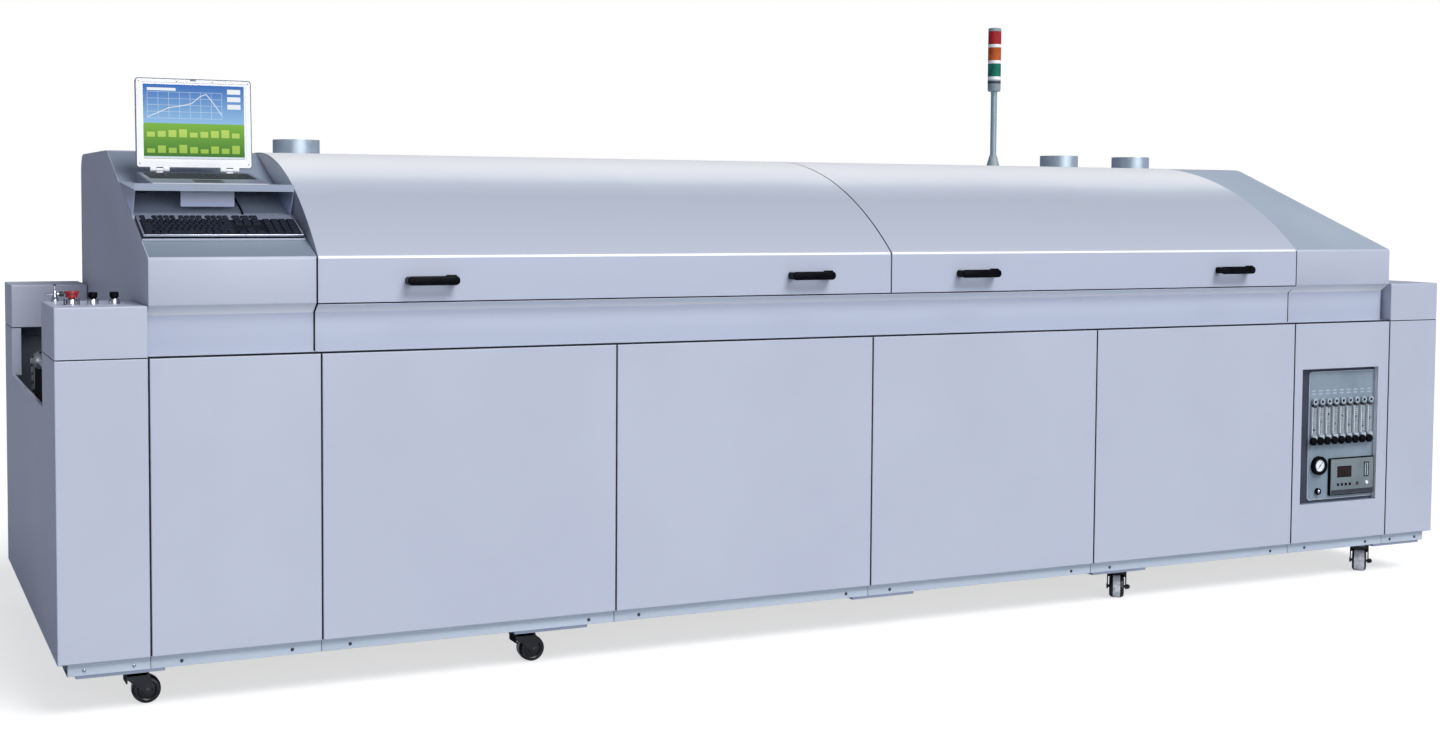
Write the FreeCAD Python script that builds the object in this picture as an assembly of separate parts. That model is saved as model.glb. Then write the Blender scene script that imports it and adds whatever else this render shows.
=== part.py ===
import FreeCAD, Part
import math
import os

# In-line reflow oven on castors. Millimetres, +Z up, +X towards the exit end, operator's side at -Y.
# The origin is on the floor under the middle of the oven's box.
# Distances "along" the oven start at the entry end, and "back" distances start at the front panels' face.

# Cabinet layout
end_unit_length = 234.0
side_bay_length = 454.0
main_bay_length = 870.0
main_bays = 4
cabinet_depth = 1562.0
upper_rear_setback = 100.0
sheet = 2.0
panel_fold = 25.0
panel_seam = 4.0
panel_edge_radius = 3.0

# Heights, each from the one below it
castor_height = 104.0
castor_plate_thick = 8.0
strip_height = 35.0
panel_height = 790.0
panel_top_gap = 3.0
sill_height = 108.0
chamfer_rise = 27.0
band_height = 125.0
hood_rise = 300.0
conveyor_drop = 40.0

# Base frame
strip_setback = 18.0
strip_inset = 25.0
base_rail_width = 60.0
base_beam_width = 80.0
pan_setback = 30.0
post_size = 40.0
tube_wall = 3.0
castor_plate_size = 225.0
castor_plate_depth = 150.0
splice_shift = 58.0

# Castors: places from the nearer end, and how far each mounting plate's middle stands off its castor
entry_castors = (213.0, 1308.0)
exit_castors = (1372.0, 244.0)
plate_shifts = (-54.0, 53.0, -64.0, 85.0)
castor_headings = (0.0, 0.0, -128.0, -135.0)
castor_back = 112.0
wheel_diameter = 76.0
wheel_width = 50.0
wheel_edge_radius = 12.0
castor_trail = 22.0
castor_head_radius = 34.0
castor_head_height = 12.0
castor_stem_radius = 8.0
castor_axle_radius = 5.0
fork_neck = 17.0
fork_eye = 10.0
fork_heel_drop = 16.0
fork_cheek = 4.0
fork_side_gap = 4.0
axle_nut_radius = 8.0
axle_nut_reach = 12.0
touch_gap = 0.3
running_gap = 0.05

# End notch and corner caps
notch_front = 318.0
notch_back = 1300.0
notch_drop = 112.0
notch_lip = 8.0
notch_fold = 28.0
cap_side_gap = 2.0
cap_edge_radius = 4.0

# Console, sill and exit cover
sill_setback = 38.0
sill_seat_gap = 4.0
sill_seat_width = 60.0
foot_flange = 70.0
console_length = 443.0
exit_cover_length = 447.0
exit_end_gap = 10.0
slope_run = 812.0
rear_round = 60.0
mouth_rise = 45.0

# Hoods
entry_hood_length = 1814.0
hood_seam = 5.0
arc_run = 800.0
hood_flange = 25.0
hood_end_straight = 640.0
hood_end_drop = 100.0
hinge_setback = 140.0
hinge_edge_gap = 15.0
hinge_drop = 22.0
hinge_pin_radius = 8.0
hinge_eye_radius = 12.0
hinge_lug_width = 16.0
hinge_lug_reach = 45.0
hinge_neck_lap = 5.0
hinge_block_width = 14.0
hinge_side_gap = 0.5
hinge_inset = 160.0
hinge_beam_gap = 4.0
hinge_beam_depth = 26.0
hinge_beam_height = 58.0
deck_edge_gap = 5.0
hood_opening = 30.0
handle_length = 150.0
handle_proud = 38.0
handle_height = 27.0
handle_bar = 13.0
handle_foot = 20.0
handle_entry_inset = 318.0
handle_exit_inset = 294.0
handle_rise = 58.0

# Hood lifts
lift_module_gap = 50.0
lift_shift = 60.0
lift_column_radius = 32.0
lift_column_drop = 20.0
lift_rod_radius = 15.0
lift_bore = 620.0
lift_bore_spare = 40.0
lift_pin_radius = 8.0
lift_slot_gap = 2.2
lift_lug_thick = 12.0
lift_lug_front = 40.0
lift_lug_back = 65.0
lift_lug_drop = 30.0
clevis_gap = 1.0
clevis_cheek = 10.0
clevis_depth = 28.0
clevis_reach = 60.0
clevis_foot = 12.0

# Heat modules
module_margin = 60.0
lift_bay = 70.0
lower_zones = 8
lower_module_height = 240.0
tunnel_height = 55.0
upper_module_height = 285.0
tunnel_side_room = 20.0
zone_gap = 4.0
nozzle_slots = 6
nozzle_width = 10.0
nozzle_margin = 45.0
blower_radius = 85.0
blower_height = 95.0
rib_thick = 6.0
rib_inset = 60.0

# Conveyor
rail_notch_gap = 74.0
rail_width = 24.0
rail_height = 90.0
rail_drop = 10.0
rail_end_inset = 24.0
board_width = 360.0
chain_width = 10.0
chain_thick = 6.0
chain_rail_gap = 2.0
nose_radius = 26.0
nose_inset = 40.0
sprocket_side = 1.0
shoe_radius = 20.0
shoe_inset = 43.0
shoe_drop = 170.0
guide_radius = 30.0
guide_inset = 260.0
return_drop = 62.0
ledge_inset = 320.0
ledge_thick = 6.0
shoe_plate_thick = 12.0
shaft_radius = 10.0
shaft_overhang = 12.0
shaft_hole_gap = 1.0
motor_radius = 40.0
motor_length = 130.0
gearbox_size = 90.0
gearbox_length = 70.0
gearbox_wall = 2.0
motor_flange = 12.0
sensor_inset = 60.0
sensor_length = 60.0
sensor_height = 105.0

# Power cabinet
power_cabinet_length = 340.0
power_cabinet_depth = 400.0
power_cabinet_height = 540.0
power_cabinet_inset = 66.0
power_cabinet_back = 600.0
power_cabinet_radius = 4.0

# Exhaust stubs and signal tower
duct_radius = 75.0
duct_wall = 2.0
duct_height = 50.0
duct_flange_radius = 92.0
duct_setback = 115.0
entry_duct_inset = 182.0
deck_duct_inset = 258.0
exit_duct_inset = 98.0
tower_inset = 625.0
tower_setback = 40.0
tower_foot_radius = 32.0
tower_flare = 42.0
tower_pole_radius = 10.0
tower_pole_height = 290.0
tower_radius = 25.0
lens_count = 3
tower_housing_height = 46.0
tower_lens_height = 50.0
tower_ring_height = 12.0
tower_cap_height = 13.0

# Laptop shelf, laptop and keyboard
shelf_side_gap = 2.0
shelf_length = 434.0
shelf_front = 245.0
shelf_rise = 177.0
shelf_lip = 20.0
shelf_tilt = 4.5
shelf_reach = 420.0
cheek_setback = 50.0
bracket_inset = 131.0
bracket_length = 147.0
bracket_setback = 55.0
bracket_drop = 43.0
laptop_inset = 42.0
laptop_width = 328.0
laptop_depth = 270.0
laptop_front_height = 20.0
laptop_back_height = 31.0
laptop_shelf_gap = 6.0
lid_height = 264.0
lid_thick = 10.0
lid_lean = 3.5
lid_foot_gap = 1.0
lid_hinge_rise = 7.5
lid_hinge_radius = 4.0
lid_knuckle = 18.0
lid_hinge_inset = 38.0
lid_hinge_setback = 8.0
keyboard_inset = 2.0
keyboard_width = 430.0
keyboard_depth = 160.0
keyboard_height = 16.0
keyboard_back = 116.0
key_height = 5.0
key_border = 8.0
key_field_gap = 8.0
nav_field = 72.0
number_field = 88.0
tray_lip_gap = 1.0
tray_lip_thick = 4.0
tray_lip_height = 11.0
lead_radius = 2.5
lead_inset = 299.0
lead_length = 190.0
lead_grommet_radius = 7.0
lead_grommet_height = 6.0

# Gas panel, from the lower left corner of its window
window_inset = 38.0
window_width = 364.0
window_height = 487.0
window_rise = 139.0
plate_back = 20.0
meter_count = 9
meter_inset = 75.0
meter_pitch = 32.8
meter_block = 20.0
meter_depth = 16.0
meter_rise = 213.0
meter_height = 167.0
meter_head_height = 32.0
meter_foot_height = 30.0
meter_tube_radius = 7.0
meter_knob_radius = 8.0
meter_knob_depth = 8.0
gauge_inset = 96.0
gauge_rise = 133.0
gauge_radius = 31.0
gauge_depth = 17.0
regulator_rise = 40.0
regulator_radius = 12.0
regulator_depth = 15.0
analyser_inset = 142.0
analyser_length = 216.0
analyser_rise = 20.0
analyser_height = 137.0
analyser_depth = 14.0

# Buttons and tee handle on the control box
button_back = 125.0
estop_inset = 58.0
start_inset = 111.0
stop_inset = 165.0
button_collar_radius = 14.0
button_collar_height = 14.0
button_stem_radius = 9.0
button_stem_drop = 20.0
button_cap_radius = 12.0
button_cap_height = 14.0
button_travel = 4.0
button_stop_gap = 0.5
estop_cap_radius = 19.0
estop_cap_height = 17.0
estop_travel = 5.0
tee_inset = 33.0
tee_edge_gap = 22.0
tee_stem_radius = 5.0
tee_bar_length = 48.0
tee_bar_radius = 4.0
tee_bar_rise = 20.0
tee_cone_height = 24.0
tee_cone_tip = 1.0
tee_collar_radius = 10.0
tee_collar_height = 6.0

# Lengths along the oven
length = 2 * (end_unit_length + side_bay_length) + main_bays * main_bay_length
console_start = end_unit_length
console_end = console_start + console_length
exit_end = length - end_unit_length - exit_end_gap
exit_start = exit_end - exit_cover_length
hood_split = console_end + entry_hood_length
seams = [end_unit_length, end_unit_length + side_bay_length]
for bay in range(main_bays):
    seams.append(seams[-1] + main_bay_length)
seams.append(seams[-1] + side_bay_length)
cap_width = end_unit_length - cap_side_gap
castor_places = list(entry_castors) + [length - inset for inset in exit_castors]
plate_places = [place + shift for place, shift in zip(castor_places, plate_shifts)]
splice_place = length / 2 + splice_shift
duct_places = (console_end + entry_duct_inset, exit_start - deck_duct_inset, exit_start + exit_duct_inset)
tower_place = exit_start - tower_inset
shelf_start = console_start + shelf_side_gap
laptop_start = shelf_start + laptop_inset
keyboard_start = shelf_start + keyboard_inset
lead_place = keyboard_start + lead_inset
window_start = seams[-2] + window_inset
window_end = window_start + window_width

# Depths from the front face
front_y = handle_proud - (cabinet_depth + handle_proud) / 2
upper_back = cabinet_depth - upper_rear_setback
front_rail_back = notch_front + rail_notch_gap
front_chain_back = front_rail_back + rail_width + chain_rail_gap
rear_chain_back = front_chain_back + chain_width + board_width
rear_rail_back = rear_chain_back + chain_width + chain_rail_gap
tunnel_front = front_rail_back - tunnel_side_room
tunnel_back = rear_rail_back + rail_width + tunnel_side_room
lift_back = tunnel_front - lift_module_gap - lift_column_radius
hinge_back = arc_run + hinge_setback
hood_back = hinge_back - hinge_edge_gap
deck_front = hinge_back + deck_edge_gap
hinge_beam_back = hinge_back + hinge_eye_radius + hinge_beam_gap
duct_back = deck_front + duct_setback
tower_back = deck_front + tower_setback
meter_front = plate_back - meter_depth
tee_back = notch_front - tee_edge_gap

# Heights above the floor
strip_bottom = castor_height + castor_plate_thick
panel_bottom = strip_bottom + strip_height
panel_top = panel_bottom + panel_height
panel_line = panel_top + panel_top_gap
sill_shoulder = panel_line + sill_height
band_bottom = sill_shoulder + chamfer_rise
band_top = band_bottom + band_height
deck_top = band_top + hood_rise
pan_top = panel_bottom + sheet
conveyor_height = panel_line - conveyor_drop
rail_top = conveyor_height - rail_drop
lower_module_top = rail_top - rail_height
support_beam_top = lower_module_top - lower_module_height
upper_module_bottom = conveyor_height + tunnel_height
upper_module_top = upper_module_bottom + upper_module_height
tunnel_mouth_top = upper_module_bottom + mouth_rise
notch_bottom = conveyor_height - notch_drop
nose_level = conveyor_height - chain_thick / 2 - nose_radius
shoe_level = conveyor_height - shoe_drop
return_level = conveyor_height - return_drop
guide_level = return_level - guide_radius
hinge_z = deck_top - hinge_drop
lift_column_top = band_top - lift_column_drop
lift_bore_foot = lift_column_top - lift_bore
lift_rod_foot = lift_bore_foot + lift_bore_spare
handle_level = band_bottom + handle_rise
shelf_level = band_top + shelf_rise
window_bottom = panel_bottom + window_rise
window_top = window_bottom + window_height
tower_pole_top = deck_top + tower_pole_height

# Angles and the lift pin's place
arc_radius = (arc_run ** 2 + hood_rise ** 2) / (2 * hood_rise)
arc_centre_z = deck_top - arc_radius
slope_tangent = hood_rise / slope_run
slope_angle = math.degrees(math.atan(slope_tangent))
half_opening = math.radians(hood_opening / 2)
lift_arm = hinge_back - lift_back
lift_pin_z = hinge_z - lift_arm * math.tan(half_opening)


def along(distance):
    return distance - length / 2


def back(distance):
    return distance + front_y


# A box from distances along, distances back and heights
def block(a1, a2, b1, b2, z1, z2):
    return Part.makeBox(a2 - a1, b2 - b1, z2 - z1, FreeCAD.Vector(along(a1), back(b1), z1))


def rod_z(a, b, z1, z2, radius):
    return Part.makeCylinder(radius, z2 - z1, FreeCAD.Vector(along(a), back(b), z1))


def rod_x(a1, a2, b, z, radius):
    start = FreeCAD.Vector(along(a1), back(b), z)
    return Part.makeCylinder(radius, a2 - a1, start, FreeCAD.Vector(1, 0, 0))


def rod_y(a, b1, b2, z, radius):
    start = FreeCAD.Vector(along(a), back(b1), z)
    return Part.makeCylinder(radius, b2 - b1, start, FreeCAD.Vector(0, 1, 0))


def point(a, b, z):
    return FreeCAD.Vector(along(a), back(b), z)


# A solid of one outline of (back, height) corners, drawn out along the oven
def prism(corners, a1, a2):
    spots = [point(a1, b, z) for b, z in corners]
    face = Part.Face(Part.makePolygon(spots + spots[:1]))
    return face.extrude(FreeCAD.Vector(a2 - a1, 0, 0))


# The same, from ready edges of an outline drawn at one place along the oven
def edge_prism(edges, reach):
    return Part.Face(Part.Wire(edges)).extrude(FreeCAD.Vector(reach, 0, 0))


def fused(first, *others):
    return first.fuse(list(others)).removeSplitter()


def tilted(shape, b, z, degrees):
    return shape.rotated(FreeCAD.Vector(0, back(b), z), FreeCAD.Vector(1, 0, 0), degrees)


# A hollow box of sheet, open at the bottom
def open_box(a1, a2, b1, b2, z1, z2, radius):
    outer = block(a1, a2, b1, b2, z1, z2)
    rounded = [e for e in outer.Edges if e.BoundBox.ZMax > z1 + sheet]
    outer = outer.makeFillet(radius, rounded)
    return outer.cut(block(a1 + sheet, a2 - sheet, b1 + sheet, b2 - sheet, z1, z2 - sheet))


def save(name, *solids):
    shape = solids[0] if len(solids) == 1 else Part.makeCompound(list(solids))
    shape.exportStep("parts/" + name + ".step")
    print(name, len(shape.Solids), round(shape.Volume / 1000.0), "cm3", "valid" if shape.isValid() else "BAD")


os.makedirs("parts", exist_ok=True)


# A square tube along the longest of its three sides, open at both ends
def tube(a1, a2, b1, b2, z1, z2):
    spans = [(a1, a2), (b1, b2), (z1, z2)]
    longest = max(range(3), key=lambda side: spans[side][1] - spans[side][0])
    inner = []
    for side, (low, high) in enumerate(spans):
        wall = 0.0 if side == longest else tube_wall
        inner += [low + wall, high - wall]
    return block(a1, a2, b1, b2, z1, z2).cut(block(*inner))


def castor_plate(a, b):
    half = castor_plate_size / 2
    return block(a - half, a + half, b, b + castor_plate_depth, castor_height, strip_bottom)


# Base frame: strips, beams, floor pan, posts, top rails, support beams and castor plates
def base_frame():
    rear_strip = cabinet_depth - strip_setback - base_rail_width
    inner_front = strip_setback + base_rail_width
    far_end = length - strip_inset
    top_rail = panel_line - post_size
    rear_post = cabinet_depth - pan_setback - post_size
    rear_plate = cabinet_depth - strip_setback - castor_plate_depth
    solids = []
    for b in (strip_setback, rear_strip):
        solids.append(tube(strip_inset, far_end, b, b + base_rail_width, strip_bottom, panel_bottom))
    half = base_beam_width / 2
    for a in (strip_inset + half, plate_places[1], splice_place, plate_places[2], far_end - half):
        solids.append(tube(a - half, a + half, inner_front, rear_strip, strip_bottom, panel_bottom))
    pan_back = cabinet_depth - pan_setback
    solids.append(block(strip_inset, far_end, pan_setback, pan_back, panel_bottom, pan_top))
    half = post_size / 2
    for b in (pan_setback, rear_post):
        for a in seams:
            solids.append(tube(a - half, a + half, b, b + post_size, pan_top, top_rail))
        solids.append(tube(panel_fold, length - panel_fold, b, b + post_size, top_rail, panel_line))
    beam_bottom = support_beam_top - post_size
    beam_front = pan_setback + post_size
    for a in seams[1:-1]:
        solids.append(tube(a - half, a + half, beam_front, rear_post, beam_bottom, support_beam_top))
    for b, depth in ((strip_setback, castor_back), (rear_plate, cabinet_depth - castor_back)):
        for a, place in zip(plate_places, castor_places):
            hole = rod_z(place, depth, castor_height, strip_bottom, castor_stem_radius + running_gap)
            solids.append(castor_plate(a, b).cut(hole))
        solids.append(castor_plate(splice_place, b))
    return solids


# One folded panel, with its face on the front or the rear plane
def panel(a1, a2, b_face, inwards):
    low = min(b_face, b_face + inwards * panel_fold)
    outer = block(a1, a2, low, low + panel_fold, panel_bottom, panel_top)
    box = outer.BoundBox
    face_y = box.YMin if inwards > 0 else box.YMax
    edges = [e for e in outer.Edges if abs(e.CenterOfMass.y - face_y) < sheet]
    outer = outer.makeFillet(panel_edge_radius, edges)
    inner_low = low + sheet if inwards > 0 else low
    inner_high = inner_low + panel_fold - sheet
    low_fold = panel_bottom + sheet
    return outer.cut(block(a1 + sheet, a2 - sheet, inner_low, inner_high, low_fold, panel_top - sheet))


def panel_row(b_face, inwards):
    half = panel_seam / 2
    edges = [-half] + seams + [length + half]
    return [panel(a1 + half, a2 - half, b_face, inwards) for a1, a2 in zip(edges, edges[1:])]


def front_panels():
    panels = panel_row(0.0, 1)
    panels[-2] = panels[-2].cut(block(window_start, window_end, 0.0, sheet, window_bottom, window_top))
    return panels


# End panel with the conveyor notch folded inwards, for the entry end or the exit end
def end_panel(a_face, inwards):
    def wall(depth, b1, b2, z1, z2):
        low = min(a_face, a_face + inwards * depth)
        return block(low, low + depth, b1, b2, z1, z2)

    edge = panel_fold + sheet
    far = cabinet_depth - edge
    skin = wall(sheet, edge, far, panel_bottom, panel_top)
    skin = skin.cut(wall(sheet, notch_front, notch_back, notch_bottom, panel_top))
    folds = [
        wall(notch_lip, notch_front - sheet, notch_back + sheet, notch_bottom - sheet, notch_bottom),
        wall(notch_fold, notch_front - sheet, notch_front, notch_bottom - sheet, panel_top),
        wall(notch_fold, notch_back, notch_back + sheet, notch_bottom - sheet, panel_top),
        wall(panel_fold, edge, edge + sheet, panel_bottom, panel_top),
        wall(panel_fold, far - sheet, far, panel_bottom, panel_top),
        wall(panel_fold, edge, far, panel_bottom, panel_bottom + sheet),
    ]
    return fused(skin, *folds)


# Corner cap over an end unit, with a foot flange that stands on the top rail
def corner_cap(a1, b1, b2):
    a2 = a1 + cap_width
    cap = open_box(a1, a2, b1, b2, panel_line, band_bottom, cap_edge_radius)
    if b1 == 0:
        flange = block(a1 + sheet, a2 - sheet, sheet, foot_flange, panel_line, panel_line + sheet)
    else:
        flange = block(a1 + sheet, a2 - sheet, b2 - foot_flange, b2 - sheet, panel_line, panel_line + sheet)
    return fused(cap, flange)


def control_box():
    cap = corner_cap(0.0, 0.0, notch_front)
    under = band_bottom - sheet
    collar_top = band_bottom + button_collar_height
    for place in (estop_inset, start_inset, stop_inset):
        collar = rod_z(place, button_back, band_bottom, collar_top, button_collar_radius)
        bore = rod_z(place, button_back, under, collar_top, button_stem_radius + running_gap)
        cap = fused(cap, collar).cut(bore)
    return cap.cut(rod_z(tee_inset, tee_back, under, band_bottom, tee_stem_radius + running_gap))


# Console and exit cover share one outline: sill face, chamfer, band, slope, flat top, rounded rear
def cover_outline(inset, a):
    slope = math.radians(slope_angle)
    band_front = inset
    slope_shift = inset / math.cos(slope)
    slope_start = band_top - slope_shift + band_front * math.tan(slope)
    top = deck_top - inset
    slope_end = (top - band_top + slope_shift) / math.tan(slope)
    rear = upper_back - inset
    bend = rear_round - inset
    chamfer = math.atan2(band_bottom - sill_shoulder, sill_setback)
    chamfer_shift = inset * math.tan(math.pi / 4 - chamfer / 2)
    face = sill_setback + inset
    arc_middle = bend * math.sqrt(0.5)
    corners = [
        (face, panel_line + inset),
        (face, sill_shoulder + chamfer_shift),
        (band_front, band_bottom + chamfer_shift),
        (band_front, slope_start),
        (slope_end, top),
        (rear - bend, top),
    ]
    spots = [point(a, b, z) for b, z in corners]
    edges = [Part.LineSegment(p, q).toShape() for p, q in zip(spots, spots[1:])]
    middle = point(a, rear - bend + arc_middle, top - bend + arc_middle)
    low = point(a, rear, top - bend)
    edges.append(Part.Arc(spots[-1], middle, low).toShape())
    foot = point(a, rear, panel_line + inset)
    edges.append(Part.LineSegment(low, foot).toShape())
    edges.append(Part.LineSegment(foot, spots[0]).toShape())
    return edges


def cover_body(a1, a2):
    return edge_prism(cover_outline(0.0, a1), a2 - a1)


def cover_shell(a1, a2):
    shell = cover_body(a1, a2).cut(edge_prism(cover_outline(sheet, a1 + sheet), a2 - a1 - 2 * sheet))
    rear_flange = upper_back - foot_flange
    shell = shell.cut(block(a1 + sheet, a2 - sheet, foot_flange, rear_flange, panel_line, panel_line + sheet))
    shell = shell.cut(block(a1, a2, tunnel_front, tunnel_back, panel_line, tunnel_mouth_top))
    ledge_front = block(a1, a2, sheet, sill_setback + sheet, panel_line, panel_line + sheet)
    ledge_rear = block(a1, a2, upper_back - sheet, cabinet_depth, panel_line, panel_line + sheet)
    return fused(shell, ledge_front, ledge_rear)


def slope_height(b):
    return band_top + b * slope_tangent


# A box laid on the console's slope: up runs along the slope from its foot at keyboard_back
def slope_block(a1, a2, up1, up2, rise1, rise2):
    foot = slope_height(keyboard_back)
    flat = block(a1, a2, keyboard_back + up1, keyboard_back + up2, foot + rise1, foot + rise2)
    return tilted(flat, keyboard_back, foot, slope_angle)


def console_shell():
    low = -tray_lip_gap - tray_lip_thick
    lip = slope_block(shelf_start, shelf_start + shelf_length, low, -tray_lip_gap, 0.0, tray_lip_height)
    return fused(cover_shell(console_start, console_end), lip)


def exit_cover():
    cover = cover_shell(exit_start, exit_end)
    return cover.cut(rod_z(duct_places[2], duct_back, deck_top - sheet, deck_top, duct_radius - duct_wall))


# Sill under the hoods: foot flange, upright, chamfer and the seat that the hoods close onto
def front_sill():
    seat = band_bottom - sill_seat_gap
    nose = sheet
    outline = [
        (sheet, panel_line),
        (foot_flange, panel_line),
        (foot_flange, panel_line + sheet),
        (sill_setback + sheet, panel_line + sheet),
        (sill_setback + sheet, sill_shoulder + sheet),
        (nose + 2 * sheet, seat - sheet),
        (sill_seat_width, seat - sheet),
        (sill_seat_width, seat),
        (nose, seat),
        (nose, seat - sheet),
        (sill_setback, sill_shoulder),
        (sill_setback, panel_line + sheet),
        (sheet, panel_line + sheet),
    ]
    return prism(outline, console_end + hood_seam / 2, exit_start - hood_seam / 2)


# Rear deck with its hinge beam, hinge blocks and hinge pins
def hinge_places(a1, a2):
    return (a1 + hinge_inset, (a1 + a2) / 2, a2 - hinge_inset)


def rear_deck():
    def outline(inset, a):
        rear = upper_back - inset
        top = deck_top - inset
        bend = rear_round - inset
        arc_middle = bend * math.sqrt(0.5)
        spots = [point(a, deck_front, panel_line), point(a, deck_front, top), point(a, rear - bend, top)]
        middle = point(a, rear - bend + arc_middle, top - bend + arc_middle)
        low = point(a, rear, top - bend)
        foot = point(a, rear, panel_line)
        edges = [Part.LineSegment(p, q).toShape() for p, q in zip(spots, spots[1:])]
        edges.append(Part.Arc(spots[-1], middle, low).toShape())
        edges.append(Part.LineSegment(low, foot).toShape())
        edges.append(Part.LineSegment(foot, spots[0]).toShape())
        return edges

    a1 = console_end
    a2 = exit_start
    skin = edge_prism(outline(0.0, a1), a2 - a1).cut(edge_prism(outline(sheet, a1), a2 - a1))
    skin = fused(skin, block(a1, a2, upper_back - sheet, cabinet_depth, panel_line, panel_line + sheet))
    for place in duct_places[:2]:
        skin = skin.cut(rod_z(place, duct_back, deck_top - sheet, deck_top, duct_radius - duct_wall))
    beam_top = deck_top - sheet
    beam_back = hinge_beam_back + hinge_beam_depth
    beam = block(a1, a2, hinge_beam_back, beam_back, beam_top - hinge_beam_height, beam_top)
    pins = []
    lug_half = hinge_lug_width / 2
    hole = hinge_pin_radius + running_gap
    for start, end in ((console_end, hood_split), (hood_split, exit_start)):
        for place in hinge_places(start, end):
            reach = lug_half + hinge_side_gap + hinge_block_width
            for side in (-1, 1):
                near = place + side * (lug_half + hinge_side_gap)
                far = place + side * reach
                low, high = min(near, far), max(near, far)
                eye_low = hinge_z - hinge_eye_radius
                arm = block(low, high, hinge_back, hinge_beam_back, eye_low, hinge_z + hinge_eye_radius)
                eye = rod_x(low, high, hinge_back, hinge_z, hinge_eye_radius)
                beam = beam.fuse([arm, eye]).cut(rod_x(low, high, hinge_back, hinge_z, hole))
            pins.append(rod_x(place - reach, place + reach, hinge_back, hinge_z, hinge_pin_radius))
    return [skin, beam] + pins


# Hoods: skin with flange, end plates, ribs that hang the heat module, hinge lugs and the lift lug
def hood_region(inset, a1, a2, margin):
    radius = arc_radius - inset
    angle_start = math.acos((arc_run - inset) / radius)
    angle_middle = (angle_start + math.pi / 2) / 2
    start_z = arc_centre_z + radius * math.sin(angle_start)
    middle_back = arc_run - radius * math.cos(angle_middle)
    middle = point(a1, middle_back, arc_centre_z + radius * math.sin(angle_middle))
    top = deck_top - inset
    spots = [
        point(a1, arc_run, top),
        point(a1, hood_back + margin, top),
        point(a1, hood_back + margin, band_bottom - margin),
        point(a1, inset, band_bottom - margin),
        point(a1, inset, start_z),
    ]
    edges = [Part.Arc(spots[-1], middle, spots[0]).toShape()]
    edges += [Part.LineSegment(p, q).toShape() for p, q in zip(spots, spots[1:])]
    return edge_prism(edges, a2 - a1)


def lift_place(a1, a2):
    return (a1 + a2) / 2 + lift_shift


def zone_spans(a1, a2):
    middle = lift_place(a1, a2)
    spans = []
    for start, end in ((a1 + module_margin, middle - lift_bay), (middle + lift_bay, a2 - module_margin)):
        half = (start + end) / 2
        spans += [(start, half - zone_gap / 2), (half + zone_gap / 2, end)]
    return spans


def hood(a1, a2):
    a1 = a1 + hood_seam / 2
    a2 = a2 - hood_seam / 2
    skin = hood_region(0.0, a1, a2, 0.0).cut(hood_region(sheet, a1, a2, hood_flange))
    pieces = [block(a1, a2, 0.0, hood_flange, band_bottom, band_bottom + sheet)]
    end_shape = [(0.0, band_bottom), (hood_end_straight, band_bottom), (hood_back, deck_top - hood_end_drop)]
    end_shape += [(hood_back, deck_top), (0.0, deck_top)]
    for start in (a1, a2 - sheet):
        plate = hood_region(0.0, start, start + sheet, 0.0)
        pieces.append(plate.common(prism(end_shape, start, start + sheet)))
    spans = zone_spans(a1, a2)
    for left, right in ((0, 1), (2, 3)):
        middle = (spans[left][1] + spans[right][0]) / 2
        start = middle - rib_thick / 2
        room = hood_region(sheet, start, start + rib_thick, 0.0)
        end = start + rib_thick
        rib = block(start, end, tunnel_front + rib_inset, tunnel_back - rib_inset, upper_module_top, deck_top)
        pieces.append(room.common(rib))
    lift = lift_place(a1, a2)
    half = lift_lug_thick / 2
    room = hood_region(sheet, lift - half, lift + half, 0.0)
    lug = block(lift - half, lift + half, lift_back - lift_lug_front, lift_back + lift_lug_back,
                lift_pin_z - lift_lug_drop, deck_top)
    pieces.append(room.common(lug).cut(lift_slot(lift - half, lift + half)))
    for place in hinge_places(a1 - hood_seam / 2, a2 + hood_seam / 2):
        half = hinge_lug_width / 2
        low = hinge_z - hinge_eye_radius
        high = hinge_z + hinge_eye_radius
        arm = block(place - half, place + half, hood_back - hinge_lug_reach, hood_back, low, deck_top - sheet)
        neck = block(place - half, place + half, hood_back - hinge_neck_lap, hinge_back, low, high)
        eye = rod_x(place - half, place + half, hinge_back, hinge_z, hinge_eye_radius)
        hole = rod_x(place - half, place + half, hinge_back, hinge_z, hinge_pin_radius + running_gap)
        pieces.append(fused(arm, neck, eye).cut(hole))
    return fused(skin, *pieces)


# The slot that the lift pin slides in as the hood turns, along the line from the hinge to the pin
def lift_slot(a1, a2):
    near = hinge_back - lift_arm
    far = hinge_back - lift_arm / math.cos(half_opening)
    half = lift_pin_radius + lift_slot_gap
    slot = block(a1, a2, far, near, hinge_z - half, hinge_z + half)
    slot = slot.fuse([rod_x(a1, a2, far, hinge_z, half), rod_x(a1, a2, near, hinge_z, half)])
    return tilted(slot, hinge_back, hinge_z, hood_opening / 2)


def hood_handles(a1, a2):
    handles = []
    half = handle_height / 2
    for middle in (a1 + handle_entry_inset, a2 - handle_exit_inset):
        start = middle - handle_length / 2
        end = middle + handle_length / 2
        bow = block(start, end, -handle_proud, 0.0, handle_level - half, handle_level + half)
        corners = [e for e in bow.Edges if e.BoundBox.ZLength > half and e.BoundBox.YMax < back(-1.0)]
        bow = bow.makeFillet(handle_foot, corners)
        gap = block(start + handle_foot, end - handle_foot, handle_bar - handle_proud, 0.0,
                    handle_level - half, handle_level + half)
        handles.append(bow.cut(gap))
    return handles


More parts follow.
